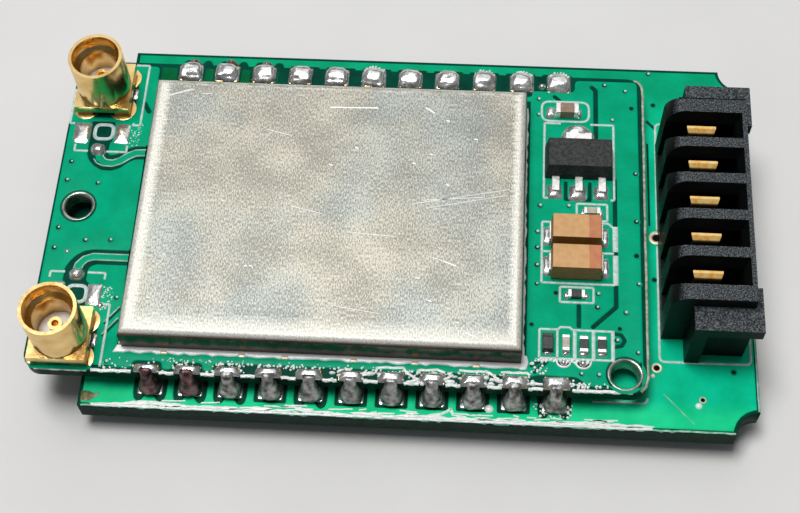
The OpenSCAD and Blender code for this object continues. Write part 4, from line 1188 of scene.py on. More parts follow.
# %% Vias
RIM_PROFILE = [(0.150, -0.010), (0.158, 0.018), (0.180, 0.028), (0.210, 0.022), (0.240, 0.008),
               (0.255, -0.010)]
PIT_SHADE_PROFILE = [(0.0, 0.012), (0.168, 0.010), (0.170, -0.010), (0.0, -0.010)]
HIGHLIGHT_BEAD_PROFILE = [(0.0, 0.070), (0.040, 0.064), (0.075, 0.046), (0.098, 0.018), (0.104, -0.008), (0.0, -0.008)]
HIGHLIGHT_SHIFT = (0.035, 0.045)
LEFT_VIAS = [(-22.30, 3.10), (-22.35, 1.66), (-20.26, 1.50), (-22.32, -1.98), (-20.40, -2.84),
             (-22.34, -3.48), (-18.76, -2.76), (-17.74, -6.92), (-17.72, -11.36)]
RIGHT_VIAS = [(13.35, 10.74), (14.74, 10.30), (15.16, 8.92), (13.84, 7.92), (8.90, 9.44), (8.90, 8.18),
              (15.34, 3.74), (15.34, 0.10), (9.08, 1.06), (10.95, 1.10), (8.94, -0.90), (8.94, -2.06),
              (8.94, -3.34), (8.94, -4.70), (15.30, -2.42), (15.40, -4.46), (10.16, -5.30), (12.84, -5.26),
              (12.78, -6.20), (14.56, -6.50), (8.66, -7.58), (14.16, -7.64), (15.26, -9.24), (11.76, -10.82),
              (12.84, -10.84), (14.00, -8.45)]
CARRIER_VIAS = [(16.90, 10.55), (16.66, -3.10), (21.46, -9.42), (16.62, 13.16), (20.60, 11.40)]
VIAS_WITHOUT_HIGHLIGHT = {(15.16, 8.92), (10.16, -5.30), (15.30, -2.42), (8.66, -7.58), (14.16, -7.64), (16.90, 10.55),
             (16.66, -3.10), (21.46, -9.42)}

via_points = [(x, y, MODULE_COPPER) for x, y in LEFT_VIAS + RIGHT_VIAS]
via_points += [(x, y, CARRIER_COPPER) for x, y in CARRIER_VIAS]
highlight_points = [(x + HIGHLIGHT_SHIFT[0], y + HIGHLIGHT_SHIFT[1], z) for x, y, z in via_points if (x, y) not in VIAS_WITHOUT_HIGHLIGHT]
repeat_piece("via_rims", turned_mesh("via_rim", RIM_PROFILE, 16), via_points, mask_finish,
             size=0.14, turn=3.0, uneven=0.03, lump=0.2, seed=3)
repeat_piece("via_pits", turned_mesh("via_shade_disc", PIT_SHADE_PROFILE, 14), via_points, pit_shade_finish,
             size=0.14, turn=3.0, seed=3)
repeat_piece("via_beads", turned_mesh("via_highlight", HIGHLIGHT_BEAD_PROFILE, 12), highlight_points, highlight_bead_finish,
             size=0.2, seed=4)

# %% [markdown]
# Holes that stay open are plated through. The two screw holes of the upper board have a broad rounded rim
# that runs down into the hole as a thin barrel. Three small ones on the lower board show a bright ring, and a
# flat dark disc over each bore is painted shade. Each is one turned profile, so rim and barrel are a single
# closed shape.

# %% Plated holes
EYELET_PROFILE = [(0.92, 3.700), (0.92, MODULE_SEAT), (1.13, MODULE_SEAT), (1.125, 4.735), (1.09, 4.765),
                  (1.03, 4.772), (0.97, 4.762), (0.915, 4.73), (0.885, 4.67), (0.88, 4.40), (0.88, 3.700)]
# Each row: place, outer radius and inner radius
RING_HOLES = [((16.86, 0.02), 0.50, 0.25), ((16.66, -9.34), 0.34, 0.18), ((19.46, -11.40), 0.22, 0.13)]
RING_CHAMFER = 0.05
RING_TOP = CARRIER_COPPER + 0.045
RING_SHOULDER = CARRIER_COPPER + 0.015
HOLE_SHADE_TOP = CARRIER_COPPER + 0.012

eyelet_work = bmesh.new()
for hole_place in MOUNT_HOLES:
    add_turned(eyelet_work, EYELET_PROFILE, hole_place, 48)
work_piece("mount_hole_plating", eyelet_work, plating_finish)

ring_work = bmesh.new()
hole_shade_work = bmesh.new()
for hole_place, outer, inner in RING_HOLES:
    ring_profile = [(inner, CARRIER_SEAT), (outer, CARRIER_SEAT), (outer, RING_SHOULDER),
                    (outer - RING_CHAMFER, RING_TOP), (inner + RING_CHAMFER, RING_TOP),
                    (inner, CARRIER_COPPER)]
    add_turned(ring_work, ring_profile, hole_place, 28)
    # Painted shade: a flat dark disc over each bore.
    hole_shade_profile = [(0.0, HOLE_SHADE_TOP), (inner, HOLE_SHADE_TOP), (inner, CARRIER_SEAT), (0.0, CARRIER_SEAT)]
    add_turned(hole_shade_work, hole_shade_profile, hole_place, 28)
work_piece("carrier_hole_rings", ring_work, seat_gold_finish)
work_piece("carrier_hole_bores", hole_shade_work, painted_shade_finish)

# %% [markdown]
# Pads are bare copper with a thin metal coat. Gold still shows at the jacks' legs and at the corners of the
# castellated pads, while solder has run over the rest and over all pads of the lower board. They are thin
# layers like the copper. The front pads grow a little longer from left to right, as the photograph shows.

# %% Pads
PAD_HEIGHT = 0.055
PAD_EDGE = 0.06
EDGE_GAP = 0.03
LEG_REACH = 1.27
LEG_PAD = 0.94
LEG_PAD_END = FRONT_EDGE + 0.23
GOLD_HALF = 0.77
REAR_PAD = 1.38
FRONT_PAD_ENDS = [-11.40 + 0.034 * k for k in range(PAD_COUNT)]

gold_pads = []
for jack_y in JACK_PLACES.values():
    for across, back in ((-1, -1), (-1, 1), (1, -1), (1, 1)):
        leg_pad = ring_loop(JACK_X + across * LEG_REACH, jack_y + back * LEG_REACH, LEG_PAD)
        gold_pads.append([(x, max(y, LEG_PAD_END)) for x, y in leg_pad])
carrier_pads = []
for place, pad_end in zip(PAD_PLACES, FRONT_PAD_ENDS):
    left, right = place - GOLD_HALF, place + GOLD_HALF
    gold_pads.append(soften(box_loop(left, FRONT_EDGE + EDGE_GAP, right, pad_end), 0.06))
    gold_pads.append(soften(box_loop(left, REAR_EDGE - REAR_PAD, right, REAR_EDGE - EDGE_GAP), 0.12))
    carrier_pads.append(soften(box_loop(place - 0.80, -12.66, place + 0.80, -10.6), 0.16))
    carrier_pads.append(soften(box_loop(place - 0.74, 10.2, place + 0.74, 12.10), 0.3))
layer_piece("gold_pads", [[loop] for loop in gold_pads], MODULE_SEAT, PAD_HEIGHT + SEAT, PAD_EDGE,
            gold_finish)
layer_piece("carrier_pads", [[loop] for loop in carrier_pads], CARRIER_SEAT, PAD_HEIGHT + SEAT, PAD_EDGE,
            bright_solder)

# %% [markdown]
# The boards are joined by 22 solder joints. The rear row was reflowed and is bright. The front row was
# soldered by hand, and its columns are dull and grainy. A joint starts as a foot on the lower board, narrows
# to a waist, climbs the half-round edge and leans in over the pad. It is a loft: rings of points along a
# bent path, each with its own width, thickness and tilt.

# %% Shape of a solder joint
# Each row: distance outwards from the edge, height, half width, half thickness, tilt in degrees
COLUMN_RINGS = [(0.14, 2.80, 0.52, 0.50, 0), (0.16, 2.90, 0.62, 0.59, 0), (0.19, 3.12, 0.69, 0.66, 0),
                (0.19, 3.36, 0.68, 0.66, 0), (0.14, 3.68, 0.59, 0.58, 0), (0.08, 4.05, 0.47, 0.50, 4),
                (0.03, 4.42, 0.40, 0.44, 14), (-0.04, 4.68, 0.39, 0.36, 34), (-0.14, 4.82, 0.40, 0.28, 56),
                (-0.26, 4.86, 0.34, 0.16, 74)]
MOUND_RINGS = [(0.10, 2.80, 0.72, 0.58, 0), (0.09, 2.92, 0.66, 0.53, 0), (0.04, 3.20, 0.57, 0.43, 0),
               (-0.02, 3.70, 0.50, 0.34, 0), (-0.05, 4.15, 0.50, 0.32, 8), (-0.10, 4.45, 0.56, 0.34, 26),
               (-0.22, 4.70, 0.64, 0.36, 50), (-0.42, 4.82, 0.71, 0.37, 72), (-0.68, 4.82, 0.76, 0.34, 86),
               (-0.96, 4.80, 0.78, 0.27, 92), (-1.20, 4.76, 0.75, 0.17, 96), (-1.36, 4.73, 0.62, 0.05, 98)]
JOINT_SIDES = 28
COLUMN_CORNERS = 0.75
MOUND_CORNERS = 0.72


def joint_mesh(name, rings, outward, corners):
    """A solder joint with its board edge at the origin. Outward is -1 at the front and 1 at the rear."""
    table = np.array(rings, float)
    steps = np.linspace(0, len(table) - 1, 3 * len(table) - 2)
    smooth = np.stack([np.interp(steps, np.arange(len(table)), column) for column in table.T], 1)
    bm = bmesh.new()
    loops = []
    for out, height, width, thick, tilt in smooth:
        lean = math.radians(tilt)
        loop = []
        for k in range(JOINT_SIDES):
            turn = 2 * math.pi * k / JOINT_SIDES
            across = width * math.copysign(abs(math.cos(turn)) ** corners, math.cos(turn))
            through = thick * math.copysign(abs(math.sin(turn)) ** corners, math.sin(turn))
            back = outward * (out + through * math.cos(lean))
            loop.append(bm.verts.new((across, back, height + through * math.sin(lean))))
        loops.append(loop)
    for lower, upper in zip(loops, loops[1:]):
        bridge(bm, lower, upper)
    bm.faces.new(loops[0])
    bm.faces.new(loops[-1])
    return close_mesh(bm, name)


print("a joint has", len(COLUMN_RINGS), "or", len(MOUND_RINGS), "rings")

# %% [markdown]
# The tree repeats each joint along its edge, turns each by a little and makes it uneven. The rows take the
# place of the plain columns that stand for the joints in the CAD model.

# %% Rows of solder joints
front_row = repeat_piece("front_joint_row", joint_mesh("front_joint", COLUMN_RINGS, -1, COLUMN_CORNERS),
                         [(x, FRONT_EDGE, 0.0) for x in PAD_PLACES], dull_solder, turn=0.16,
                         uneven=0.22, lump=0.55, seed=5)
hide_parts("edge_joints_front")
rear_row = repeat_piece("rear_joint_row", joint_mesh("rear_joint", MOUND_RINGS, 1, MOUND_CORNERS),
                        [(x, REAR_EDGE, 0.0) for x in PAD_PLACES], bright_solder, turn=0.08,
                        uneven=0.24, lump=0.42, seed=9)
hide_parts("edge_joints_rear")

# %% [markdown]
# Solder also sits as low domes on the spare coaxial pads and at the ends of the parts. A seeded push in and
# out gives each an edge that ran a little, as solder does. One sphere on every pad would be quicker, but
# real solder takes the outline of its pad.

# %% Solder at the parts
# Each row: rounding of the corners, height, and the boxes it is used for
DOMES = [
    (0.22, 0.16, [(-22.58, 4.48, -21.36, 6.36), (-19.76, 4.54, -18.62, 6.32), (-19.74, -7.60, -18.68, -5.90),
                  (-22.30, -7.24, -21.24, -5.84)]),
    (0.46, 0.40, [(-21.16, 3.62, -20.10, 4.62), (-21.08, -5.80, -20.06, -4.88)]),
    (0.22, 0.10, [(-18.98, 8.20, -18.50, 9.14), (-18.98, -10.40, -18.50, -9.44)]),
    (0.22, 0.26, [(9.46, 1.58, 10.58, 2.70), (10.92, 1.54, 12.14, 2.76), (12.52, 1.60, 13.60, 2.70)]),
    (0.22, 0.24, [(9.30, -1.98, 9.80, -0.44), (13.04, -1.98, 13.56, -0.44), (9.30, -4.20, 9.80, -2.62),
                  (13.04, -4.20, 13.56, -2.62)]),
    (0.22, 0.26, [(9.38, 7.86, 10.06, 8.86), (11.42, 7.92, 11.84, 8.80)]),
    (0.18, 0.16, [(11.66, 0.36, 12.04, 0.92), (12.84, 0.36, 13.22, 0.92), (10.62, -5.72, 11.02, -5.12),
                  (11.86, -5.72, 12.28, -5.12), (9.34, -9.66, 10.02, -9.28), (10.50, -9.62, 11.08, -9.24),
                  (11.58, -9.66, 12.26, -9.22), (12.70, -9.66, 13.38, -9.22), (9.34, -8.52, 10.02, -8.14),
                  (10.50, -8.56, 11.08, -8.20), (11.58, -8.58, 12.26, -8.12), (12.70, -8.58, 13.38, -8.12)]),
    (0.24, 0.26, [(8.84, 10.28, 9.38, 10.68)]),
]
DOME_WOBBLE = 0.05
DOME_SEED = 17
dome_chance = np.random.default_rng(DOME_SEED)
dome_work = bmesh.new()


def solder_dome(loop, height, fullness=3.0):
    """A dome of solder on the upper board, whose edge ran a little."""
    add_dome(dome_work, wobble(loop, DOME_WOBBLE, dome_chance), MODULE_SEAT, height, fullness)


for rounding, dome_height, boxes in DOMES:
    for box in boxes:
        solder_dome(soften(box_loop(*box), rounding, 6), dome_height)
print("domes at the parts:", sum(len(boxes) for *_, boxes in DOMES))

# %% [markdown]
# The pads of both rows are covered too, the front ones up to their rounded ends. A pool of solder lies at
# the regulator's tab, and a few beads have rolled clear. All of this solder is one piece.

# %% Solder on the pads
PAD_COVER = 0.82
PAD_LIP = 0.01
REAR_LIP = 0.04
# How far in from the pad's side, and how far short of its end, the rounded corner of the solder runs
PAD_CORNER = [(0.0, 0.24), (0.07, 0.07), (0.24, 0.0)]
TAB_MIDDLE = (11.52, 6.60)
TAB_POOL = (1.12, 0.86)
TAB_FRONT = 6.00
# Each row: place and radius
LOOSE_BEADS = [(10.68, -10.06, 0.24), (11.88, -10.06, 0.26), (-21.46, -3.70, 0.20), (-18.70, -7.50, 0.26)]

for place, pad_end in zip(PAD_PLACES, FRONT_PAD_ENDS):
    right_end = [(PAD_COVER - side, pad_end - short) for side, short in PAD_CORNER]
    left_end = [(-x, y) for x, y in right_end[::-1]]
    front = FRONT_EDGE + PAD_LIP
    pad_loop = [(-PAD_COVER, front), (PAD_COVER, front), *right_end, *left_end]
    solder_dome(soften([(place + x, y) for x, y in pad_loop], 0.10, 3), 0.24, 3.2)
    rear_box = box_loop(place - PAD_COVER, REAR_EDGE - REAR_PAD, place + PAD_COVER, REAR_EDGE - REAR_LIP)
    solder_dome(soften(rear_box, 0.16), 0.13, 5.0)
tab_pool = [(TAB_MIDDLE[0] + TAB_POOL[0] * math.cos(t), TAB_MIDDLE[1] + TAB_POOL[1] * math.sin(t))
            for t in np.linspace(0, math.pi, 17)]
tab_pool += [(TAB_MIDDLE[0] - TAB_POOL[0], TAB_FRONT), (TAB_MIDDLE[0] + TAB_POOL[0], TAB_FRONT)]
solder_dome(tab_pool, 0.50, 2.0)
for x, y, radius in LOOSE_BEADS:
    add_dome(dome_work, ring_loop(x, y, radius, 20), MODULE_SEAT, 0.6 * radius, 2.0)
work_piece("part_solder", dome_work, bright_solder)

# %% [markdown]
# Flux burnt brown behind the first three joints of the rear row, as soft peaks that lean on the solder. Each
# is a steep dome over an uneven oval.

# %% Burnt flux
FLUX_PEAKS = [(-15.10, 11.80), (-12.52, 11.84), (-9.98, 11.78)]
PEAK_RADIUS = 0.56
PEAK_STRETCH = 1.5
peak_work = bmesh.new()
for x, y in FLUX_PEAKS:
    peak_loop = wobble(ring_loop(x, y, PEAK_RADIUS, 20, PEAK_STRETCH), 0.06, dome_chance)
    add_dome(peak_work, peak_loop, CARRIER_SEAT, 1.90, 2.1)
work_piece("burnt_flux", peak_work, brown_flux)

# %% [markdown]
# A white band of solder and flux runs along the foot of the shield: broad in front, narrow on the right,
# short at the left end, with a blot round the front right-hand corner. Its white is partly the band's own
# colour and partly a painted reflection of the bright solder. Its inner side lies under the shield and is
# straight. Its outer side is ragged, from points that stray a little off the line.

# %% Solder along the foot of the shield
BAND_SEED = 21
BAND_EDGE = 0.10
BAND_STEP = 0.35
band_chance = np.random.default_rng(BAND_SEED)


def ragged(start, end, side, depth, rough):
    """Points along a straight foot, each a little off the line on the given side."""
    start, end, side = (np.array(v, float) for v in (start, end, side))
    count = max(3, int(np.linalg.norm(end - start) / BAND_STEP))
    return [tuple(start + (end - start) * k / count + side * (depth + rough * band_chance.uniform(-1, 1)))
            for k in range(count + 1)]


front_band = [(SHIELD_RIGHT + 0.05, SHIELD_FRONT + 0.15), (SHIELD_LEFT - 0.30, SHIELD_FRONT + 0.15)]
front_band += ragged((SHIELD_LEFT - 0.55, SHIELD_FRONT), (SHIELD_RIGHT + 0.1, SHIELD_FRONT), (0, -1),
                     0.37, 0.08)
right_band = [(SHIELD_RIGHT - 0.10, 8.6), (SHIELD_RIGHT - 0.10, -9.8)]
right_band += ragged((SHIELD_RIGHT, -9.9), (SHIELD_RIGHT, 8.7), (1, 0), 0.17, 0.06)
left_band = [(SHIELD_LEFT + 0.10, -10.0), (SHIELD_LEFT + 0.10, -9.0)]
left_band += ragged((SHIELD_LEFT, -9.0), (SHIELD_LEFT, -10.1), (-1, 0), 0.24, 0.05)
corner_band = soften([(7.85, -10.50), (7.95, -10.74), (8.38, -10.72), (8.52, -10.20), (8.42, -9.72),
                      (7.98, -9.68)], 0.1, 2)
band_work = bmesh.new()
for band, band_height in ((front_band, 0.11), (right_band, 0.09), (left_band, 0.12), (corner_band, 0.10)):
    add_layer(band_work, [band], MODULE_SEAT, band_height, BAND_EDGE)
work_piece("shield_solder", band_work, flux_and_highlight_finish)

# %% [markdown]
# Where the solder didn't run, the gold of the shield's seat shows as short gaps in the band. A few small
# plates on top of the band give them.

# %% Gold in the seat of the shield
SEAT_GAPS = [-14.2, -9.3, -6.6, -2.3, 1.5, 5.3]
GAP_HALF = 0.24
GAP_FRONT, GAP_REAR = -10.72, -10.44
seat_gaps = [[soften(box_loop(x - GAP_HALF, GAP_FRONT, x + GAP_HALF, GAP_REAR), 0.08, 2)] for x in SEAT_GAPS]
layer_piece("shield_seat_gold", seat_gaps, MODULE_SEAT, 0.125, 0.04, seat_gold_finish)

# %% [markdown]
# Age shows in small marks, and the first are along the upper board's edges: a pale line of bare laminate on
# the sawn right-hand side, made paler as a painted highlight of that edge, and white residue of flux along
# the front edge between the joints, whose white is also a painted highlight of that edge. They reuse the line
# tree, with each path cut into short steps that stray a little. A painted mask would do for a picture from
# far away, but real lines keep their place and their thickness from every side.

# %% Marks on the edges
MARK_SEED = 31
mark_chance = np.random.default_rng(MARK_SEED)
FLUX_CORNER = 0.02
JOINT_CLEAR = 0.82


def stray(path, step, amount):
    """The same path in short steps, each point a little off the line."""
    points = [np.array(p, float) for p in path]
    strayed = []
    for start, end in zip(points, points[1:]):
        count = max(1, int(np.linalg.norm(end - start) / step))
        for k in range(count):
            strayed.append(tuple(start + (end - start) * k / count + mark_chance.uniform(-amount, amount, 2)))
    return [*strayed, tuple(points[-1])]


def pale_line_piece(name, paths, width, base, top):
    """A piece of white lines of dried flux, which along the board edges also paint a highlight."""
    return line_piece(name, paths, width, base, top, flux_and_highlight_finish, FLUX_CORNER)


edge_line_path = [(15.35, 11.27), (15.66, 11.12), (15.86, 10.84), (15.94, 10.40), (15.90, 0.0), (15.86, -10.90),
             (15.72, -11.45), (15.40, -11.80)]
line_piece("board_burr", [stray(edge_line_path, 0.5, 0.012)], 0.19, 4.58, 4.712, pale_edge_finish)
# Flux along the front edge, whose white is also a painted highlight of that edge.
edge_flux_and_highlight = [stray([(-22.2, -11.93), (-18.9, -11.93)], 0.3, 0.02)]
edge_flux_and_highlight += [stray([(-18.6, -11.95), (-16.1, -11.92)], 0.2, 0.04)]
for before, after in zip(PAD_PLACES, PAD_PLACES[1:]):
    gap = [(x, FRONT_EDGE + 0.05) for x in (before + JOINT_CLEAR, after - JOINT_CLEAR)]
    edge_flux_and_highlight.append(stray(gap, 0.16, 0.045))
edge_flux_and_highlight += [stray([(11.2, -11.92), (13.6, -11.90), (14.9, -11.88)], 0.2, 0.03)]
pale_line_piece("front_edge_flux", edge_flux_and_highlight, 0.20, 4.60, 4.742)

# %% [markdown]
# Over the right half of the front row the flux drew itself into thin outlines round the pads as it dried.
# Their paths follow the photograph, and the stray steps give them their uneven run.

# %% Outlines of dried flux
FLUX_LINES = [
    [(-2.60, -11.62), (-1.75, -11.50), (-1.02, -11.32)],
    [(-0.87, -11.31), (-0.84, -10.97), (0.86, -10.92), (0.97, -11.22), (1.80, -11.65)],
    [(1.66, -11.30), (1.72, -11.04), (2.94, -10.92), (3.40, -11.12)],
    [(3.30, -11.60), (3.90, -11.25)],
    [(4.27, -10.95), (5.97, -10.91), (6.73, -11.41)],
    [(6.86, -10.96), (8.41, -10.88), (8.62, -11.05)],
    [(8.70, -11.50), (9.40, -11.62)],
]
pale_line_piece("flux_lines", [stray(path, 0.22, 0.04) for path in FLUX_LINES], 0.17, 4.69, 4.78)

# %% [markdown]
# Between the pads the residue stands in drops, and along the lower board's front edge it was smeared by a
# brush; there its white also paints the highlight of that edge. A drop is a dome over a ragged oval. A smear
# is a dome over a long shape with pointed ends, and many of them lie over each other, because one long smear
# would look ruled.

# %% Drops and smears of flux
BLOBS_PER_PAD = 10
BLOB_PADS = PAD_PLACES[5:10]
# Each row: left end, right end, place along Y and width
SMEARS = [(0.80, 2.05, -13.14, 0.30), (4.50, 6.10, -13.09, 0.20), (-7.9, -6.4, -13.10, 0.16),
          (-14.4, -12.6, -13.22, 0.16)]
blob_work = bmesh.new()


def between(low, high):
    """One random value between two."""
    return mark_chance.uniform(low, high)


def blob(x, y, radius, stretch):
    """The outline of a drop of residue, drawn out along X."""
    return wobble(ring_loop(x, y, radius, 14, stretch), 0.3 * radius, mark_chance)


def smear(x0, x1, y, width):
    """The outline of a flat patch of residue, pointed at both ends and ragged along its sides."""
    steps = np.linspace(0, 1, 11)[1:-1]
    sides = []
    for way in (-1, 1):
        sides.append([(x0 + (x1 - x0) * t, y + way * width * math.sin(math.pi * t) * between(0.2, 0.6))
                      for t in steps])
    low, high = sides
    return [(x0, y), *low, (x1, y), *high[::-1]]


for place in BLOB_PADS:
    for k in range(BLOBS_PER_PAD):
        side = mark_chance.choice((-1, 1))
        drop = blob(place + side * between(0.5, 1.2), between(-11.88, -11.3), between(0.05, 0.15),
                    between(1.0, 2.2))
        add_dome(blob_work, drop, MODULE_SEAT, between(0.09, 0.16))
SMEARS += [(x, x + between(1.4, 3.4), between(-13.42, -13.22), between(0.20, 0.42))
           for x in np.arange(-19.0, 14.5, 1.0)]
for x0, x1, y, width in SMEARS:
    add_dome(blob_work, smear(x0, x1, y, width), CARRIER_SEAT, between(0.075, 0.095))
work_piece("flux_blobs", blob_work, flux_and_highlight_finish)

# %% [markdown]
# Fine streaks of flux lie over the smears and, like them, also paint the highlight of the front edge. A pale
# line along the lower board's front and right-hand edges is a painted highlight. One streak in front is bent
# like a hook. All are lines again, most of them at random places in the front strip.

# %% Streaks and painted edge highlights of the lower board
STREAK_COUNT = 60
STRIP_FRONT, STRIP_REAR = -13.42, -12.95

bent_path = [(2.10, -13.40), (2.60, -13.22), (3.23, -13.11), (3.83, -12.75), (3.98, -13.09)]
pale_line_piece("bent_streak", [stray(bent_path, 0.3, 0.02)], 0.20, CARRIER_SEAT, CARRIER_COPPER + 0.03)
strip_streaks = []
for k in range(STREAK_COUNT):
    start_x = between(-18.5, 14.6)
    start_y = STRIP_FRONT + 0.46 * between(0, 1) ** 2
    reach = between(0.35, 1.6)
    end_y = np.clip(start_y + between(-0.10, 0.10), STRIP_FRONT, STRIP_REAR)
    strip_streaks.append(stray([(start_x, start_y), (start_x + reach, end_y)], 0.3, 0.02))
pale_line_piece("carrier_streaks", strip_streaks, 0.10, CARRIER_SEAT, CARRIER_COPPER + 0.014)
# Painted highlight: pale lines along the lower board's front and right-hand edges.
carrier_highlight_edges = [stray([(-19.4, -13.52), (21.4, -13.52)], 0.35, 0.03)]
carrier_highlight_edges += [stray([(22.92, -12.0), (22.92, 11.9)], 0.8, 0.01)]
edge_flux_highlight_streak = stray([(-18.8, -13.48), (-4.0, -13.47), (16.3, -13.48)], 0.25, 0.035)
pale_line_piece("carrier_front_flux", [edge_flux_highlight_streak], 0.17, 2.72, CARRIER_TOP + 0.03)
line_piece("carrier_edge_wear", carrier_highlight_edges, 0.14, 2.70, CARRIER_TOP + 0.022, glint_and_scratch_finish,
           FLUX_CORNER)

# %% [markdown]
# Crumbs of flux lie between the shield and the front row, at the left end, and round the last joint. One
# turned crumb is repeated by the tree in many sizes. Three larger dots lie on the lower board, and a scratch
# marks its right end.

# %% Crumbs, dots and a scratch
CRUMB_PROFILE = [(0.0, 0.045), (0.030, 0.040), (0.058, 0.022), (0.07, -0.004), (0.0, -0.004)]
CRUMB_SIDES = 7
# Each row: place and radius
FLUX_DOTS = [(6.22, -12.60, 0.29), (19.20, -11.80, 0.24), (16.40, -9.90, 0.17)]


def crumb_piece(name, profile, points, size, uneven, seed):
    """A piece of many crumbs of flux, no two alike."""
    crumb = turned_mesh(name + "_one", profile, CRUMB_SIDES)
    return repeat_piece(name, crumb, points, flux_and_highlight_finish, size, 3.0, uneven, 0.12, seed)


def near(y, sway):
    """One random value close to y."""
    return mark_chance.normal(y, sway)


crumb_points = [(between(-14.2, 8.6), near(-11.12, 0.10), MODULE_TOP) for k in range(260)]
crumb_points += [(between(-18.0, -9.0), between(-11.8, -11.0), MODULE_TOP) for k in range(110)]
crumb_points += [(between(8.8, 11.4), between(-13.0, -12.1), CARRIER_TOP) for k in range(70)]
crumb_points += [(between(11.0, 13.4), near(-11.55, 0.10), MODULE_TOP) for k in range(60)]
crumb_piece("flux_crumbs", CRUMB_PROFILE, crumb_points, 0.55, 0.10, 13)
dot_work = bmesh.new()
for x, y, radius in FLUX_DOTS:
    add_dome(dot_work, wobble(ring_loop(x, y, radius, 20), 0.02, mark_chance), CARRIER_SEAT, 0.16)
work_piece("flux_dots", dot_work, flux_and_highlight_finish)
scratch_path = stray([(17.05, -11.10), (17.99, -12.08), (18.90, -13.05)], 0.4, 0.02)
line_piece("carrier_scratch", [scratch_path], 0.07, CARRIER_SEAT, CARRIER_COPPER + 0.010, glint_and_scratch_finish)

# %% [markdown]
# Four joints of the rear row wear a crest of white residue, specks of it lie round the spare coaxial pads,
# and at the front left the lower board has a tan stain. They are low drops and crumbs like the ones before.

# %% Crests, specks and a stain
CREST_PADS = (5, 8, 9, 10)
CREST_PLACES = [(-0.66, -0.12), (-0.50, -0.04), (-0.30, 0.12), (-0.10, 0.16), (0.12, 0.15), (0.32, 0.11),
                (0.50, -0.05), (0.66, -0.12)]
CREST_BASE = MODULE_TOP - 0.06
SPECK_PROFILE = [(0.0, 0.026), (0.018, 0.023), (0.034, 0.012), (0.040, -0.004), (0.0, -0.004)]
STAIN_LOOP = [(-19.46, -13.34), (-18.95, -13.38), (-18.55, -13.08), (-18.05, -12.60), (-18.62, -12.70),
              (-19.10, -12.48), (-19.48, -12.55)]

crest_work = bmesh.new()
for k in CREST_PADS:
    for across, back in CREST_PLACES:
        drop = blob(PAD_PLACES[k] + across, REAR_EDGE + back, between(0.08, 0.15), between(0.8, 1.5))
        add_dome(crest_work, drop, CREST_BASE, between(0.26, 0.44))
work_piece("rear_flux", crest_work, flux_and_highlight_finish)
pad_specks = [(between(-18.70, -18.0), between(-7.8, -6.2), MODULE_COPPER) for k in range(46)]
pad_specks += [(between(-18.60, -17.9), between(4.5, 6.4), MODULE_COPPER) for k in range(34)]
crumb_piece("pad_specks", SPECK_PROFILE, pad_specks, 0.6, 0.05, 15)
stain_work = bmesh.new()
add_dome(stain_work, wobble(soften(STAIN_LOOP, 0.12, 3), 0.03, mark_chance), CARRIER_SEAT, 0.075, 6.0)
work_piece("corner_stain", stain_work, stain_finish)

# %% [markdown]
# In front of the row of four chips two beads of solder are ringed by half circles of flux, and crumbs lie
# between them. The half circles are lines, and the crumbs are the same turned shape again.

# %% Residue in front of the row of chips
# Each row: middle and radius
ROW_ARCS = [(10.68, -10.04, 0.42), (11.89, -10.04, 0.46)]
ARC_DEPTH = 0.9
ARC_TURNS = np.linspace(math.pi, 2 * math.pi, 13)
row_arcs = [[(x + radius * math.cos(t), y + ARC_DEPTH * radius * math.sin(t)) for t in ARC_TURNS]
            for x, y, radius in ROW_ARCS]
pale_line_piece("row_arcs", [stray(arc, 0.10, 0.015) for arc in row_arcs], 0.13, MODULE_SEAT, 4.79)
row_crumbs = [(between(8.9, 12.5), near(-9.98, 0.07), MODULE_COPPER) for k in range(64)]
row_crumbs += [(between(8.5, 9.7), between(-10.9, -10.1), MODULE_COPPER) for k in range(20)]
crumb_piece("row_crumbs", CRUMB_PROFILE, row_crumbs, 0.55, 0.10, 16)

# %% [markdown]
# The rear wall of the connector ends in a rounded edge that drops to the guide ear. From the front a dark
# line shows there, and a thin black strip along that edge is that line as a painted shadow.

# %% Painted shadow along the housing's rear wall
line_piece("housing_rear_edge", [[(17.75, 7.262), (22.02, 7.262)]], 0.085, 8.60, 8.664, painted_shade_finish,
           0.02)

# %% [markdown]
# The antenna traces show best by the light that runs along the rounded edge of their copper. A low pale line
# along each edge is a painted highlight of it, drawn with the same tree.

# %% Light edges of the traces
trace_edges = [
    [(-20.34, 3.98), (-20.22, 3.60), (-19.98, 3.36), (-19.55, 3.32), (-19.14, 3.50), (-18.66, 3.90),
     (-18.12, 4.18), (-17.40, 4.24)],
    [(-20.84, 3.40), (-20.58, 3.06), (-20.14, 2.86), (-19.48, 2.84), (-18.88, 3.08), (-18.42, 3.46),
     (-17.98, 3.72), (-17.40, 3.76)],
    [(-20.84, -4.96), (-20.76, -4.56), (-20.36, -4.06), (-19.72, -3.80), (-17.40, -3.80)],
    [(-20.30, -4.90), (-20.26, -4.70), (-20.02, -4.40), (-19.62, -4.26), (-17.40, -4.26)],
    [(-18.30, -9.52), (-17.44, -8.34)],
    [(-18.30, -8.68), (-17.44, -7.54)],
]
line_piece("trace_edges", trace_edges, 0.10, MODULE_SEAT, MODULE_COPPER + 0.012, glint_and_scratch_finish,
           0.2)

# %% [markdown]
# The shield has been handled. Its top carries fine scratches, and a few deeper ones with small dings. A
# scratch in the finish alone would look the same from every side. These are low burrs of the same sheet, so
# each catches the light in its own way.

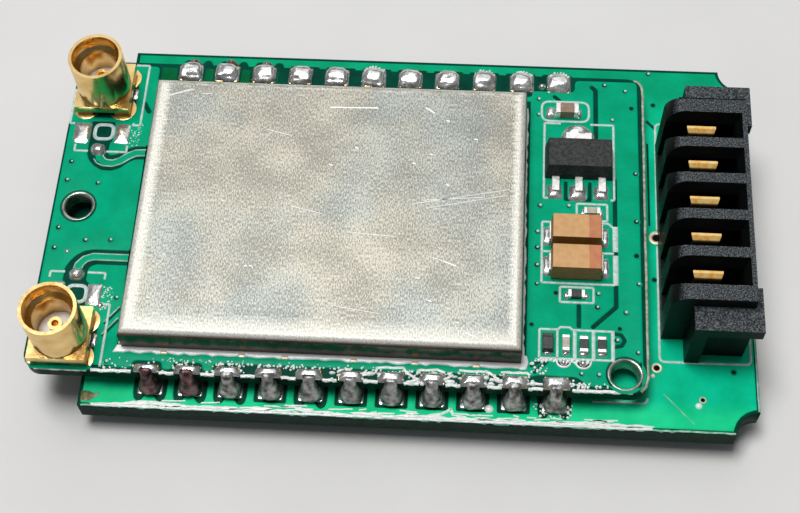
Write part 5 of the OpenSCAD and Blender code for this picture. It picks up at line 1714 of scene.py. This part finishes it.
# %% Scratches in the shield
SHIELD_TOP = 6.8
SCRATCH_ROOT = SHIELD_TOP - 0.010
DING_HALF = 0.11
DING_FALL = 0.03
fine_scratches = [
    [(-16.10, 7.29), (-14.42, 7.91)],
    [(-16.20, 7.22), (-14.26, 7.86)],
    [(-13.71, 7.54), (-12.98, 7.59)],
    [(-9.46, 3.71), (-8.67, 4.76)],
    [(-9.00, 4.90), (-7.52, 4.50)],
    [(-6.95, -0.86), (-4.96, -1.34)],
    [(-3.21, -2.61), (-0.14, -2.81)],
    [(0.68, -0.41), (7.01, 0.96)],
    [(1.70, -0.65), (6.84, 0.51)],
    [(1.42, -0.08), (5.45, 0.33)],
    [(2.01, -4.11), (3.10, -4.46)],
    [(-3.80, -7.83), (-0.82, -8.26)],
    [(-1.77, -8.92), (-0.29, -9.26)],
]
deep_scratches = [
    [(-5.02, 6.82), (-1.82, 6.89)],
    [(1.33, 7.06), (1.95, 6.64)],
    [(3.08, -4.45), (3.83, -4.75)],
    [(4.54, -9.30), (5.39, -9.65)],
]
dings = [(-11.38, -0.64), (-9.39, -5.32), (-9.05, -5.31), (-15.91, 5.36), (2.86, 6.06), (0.77, 2.69),
         (-3.03, 3.71), (-14.63, -4.72), (-15.22, -7.81), (3.02, 1.14), (2.27, -7.25), (4.03, -8.65),
         (-4.61, 2.33), (1.89, 3.40), (4.75, 4.69), (1.41, -5.68)]
deep_scratches += [[(x - DING_HALF, y + DING_FALL), (x + DING_HALF, y - DING_FALL)] for x, y in dings]
line_piece("shield_scratches", fine_scratches, 0.07, SCRATCH_ROOT, SHIELD_TOP + 0.012, scratch_finish,
           0.02)
line_piece("shield_deep_scratches", deep_scratches, 0.13, SCRATCH_ROOT, SHIELD_TOP + 0.014, scratch_finish,
           0.02)

# %% [markdown]
# The module stands on a plain pale floor, which isn't part of it. A single large square with a soft mottled
# finish is enough, since only its colour and the shadow on it are seen.

# %% Stage
FLOOR_HALF = 0.6
floor_mesh = bpy.data.meshes.new("floor")
floor_corners = box_loop(-FLOOR_HALF, -FLOOR_HALF, FLOOR_HALF, FLOOR_HALF)
floor_mesh.from_pydata([(x, y, 0) for x, y in floor_corners], [], [(0, 1, 2, 3)])
floor_finish = plain_finish("pale_floor", (0.77, 0.76, 0.745), (0.80, 0.79, 0.775), patch=9.0,
                            roughness=(0.7, 0.85), grain=1.0, height=0.004, specular=0.2)
floor_mesh.materials.append(floor_finish.material)
floor = bpy.data.objects.new("floor", floor_mesh)
scene.collection.objects.link(floor)
print("floor", 2 * FLOOR_HALF, "m across")
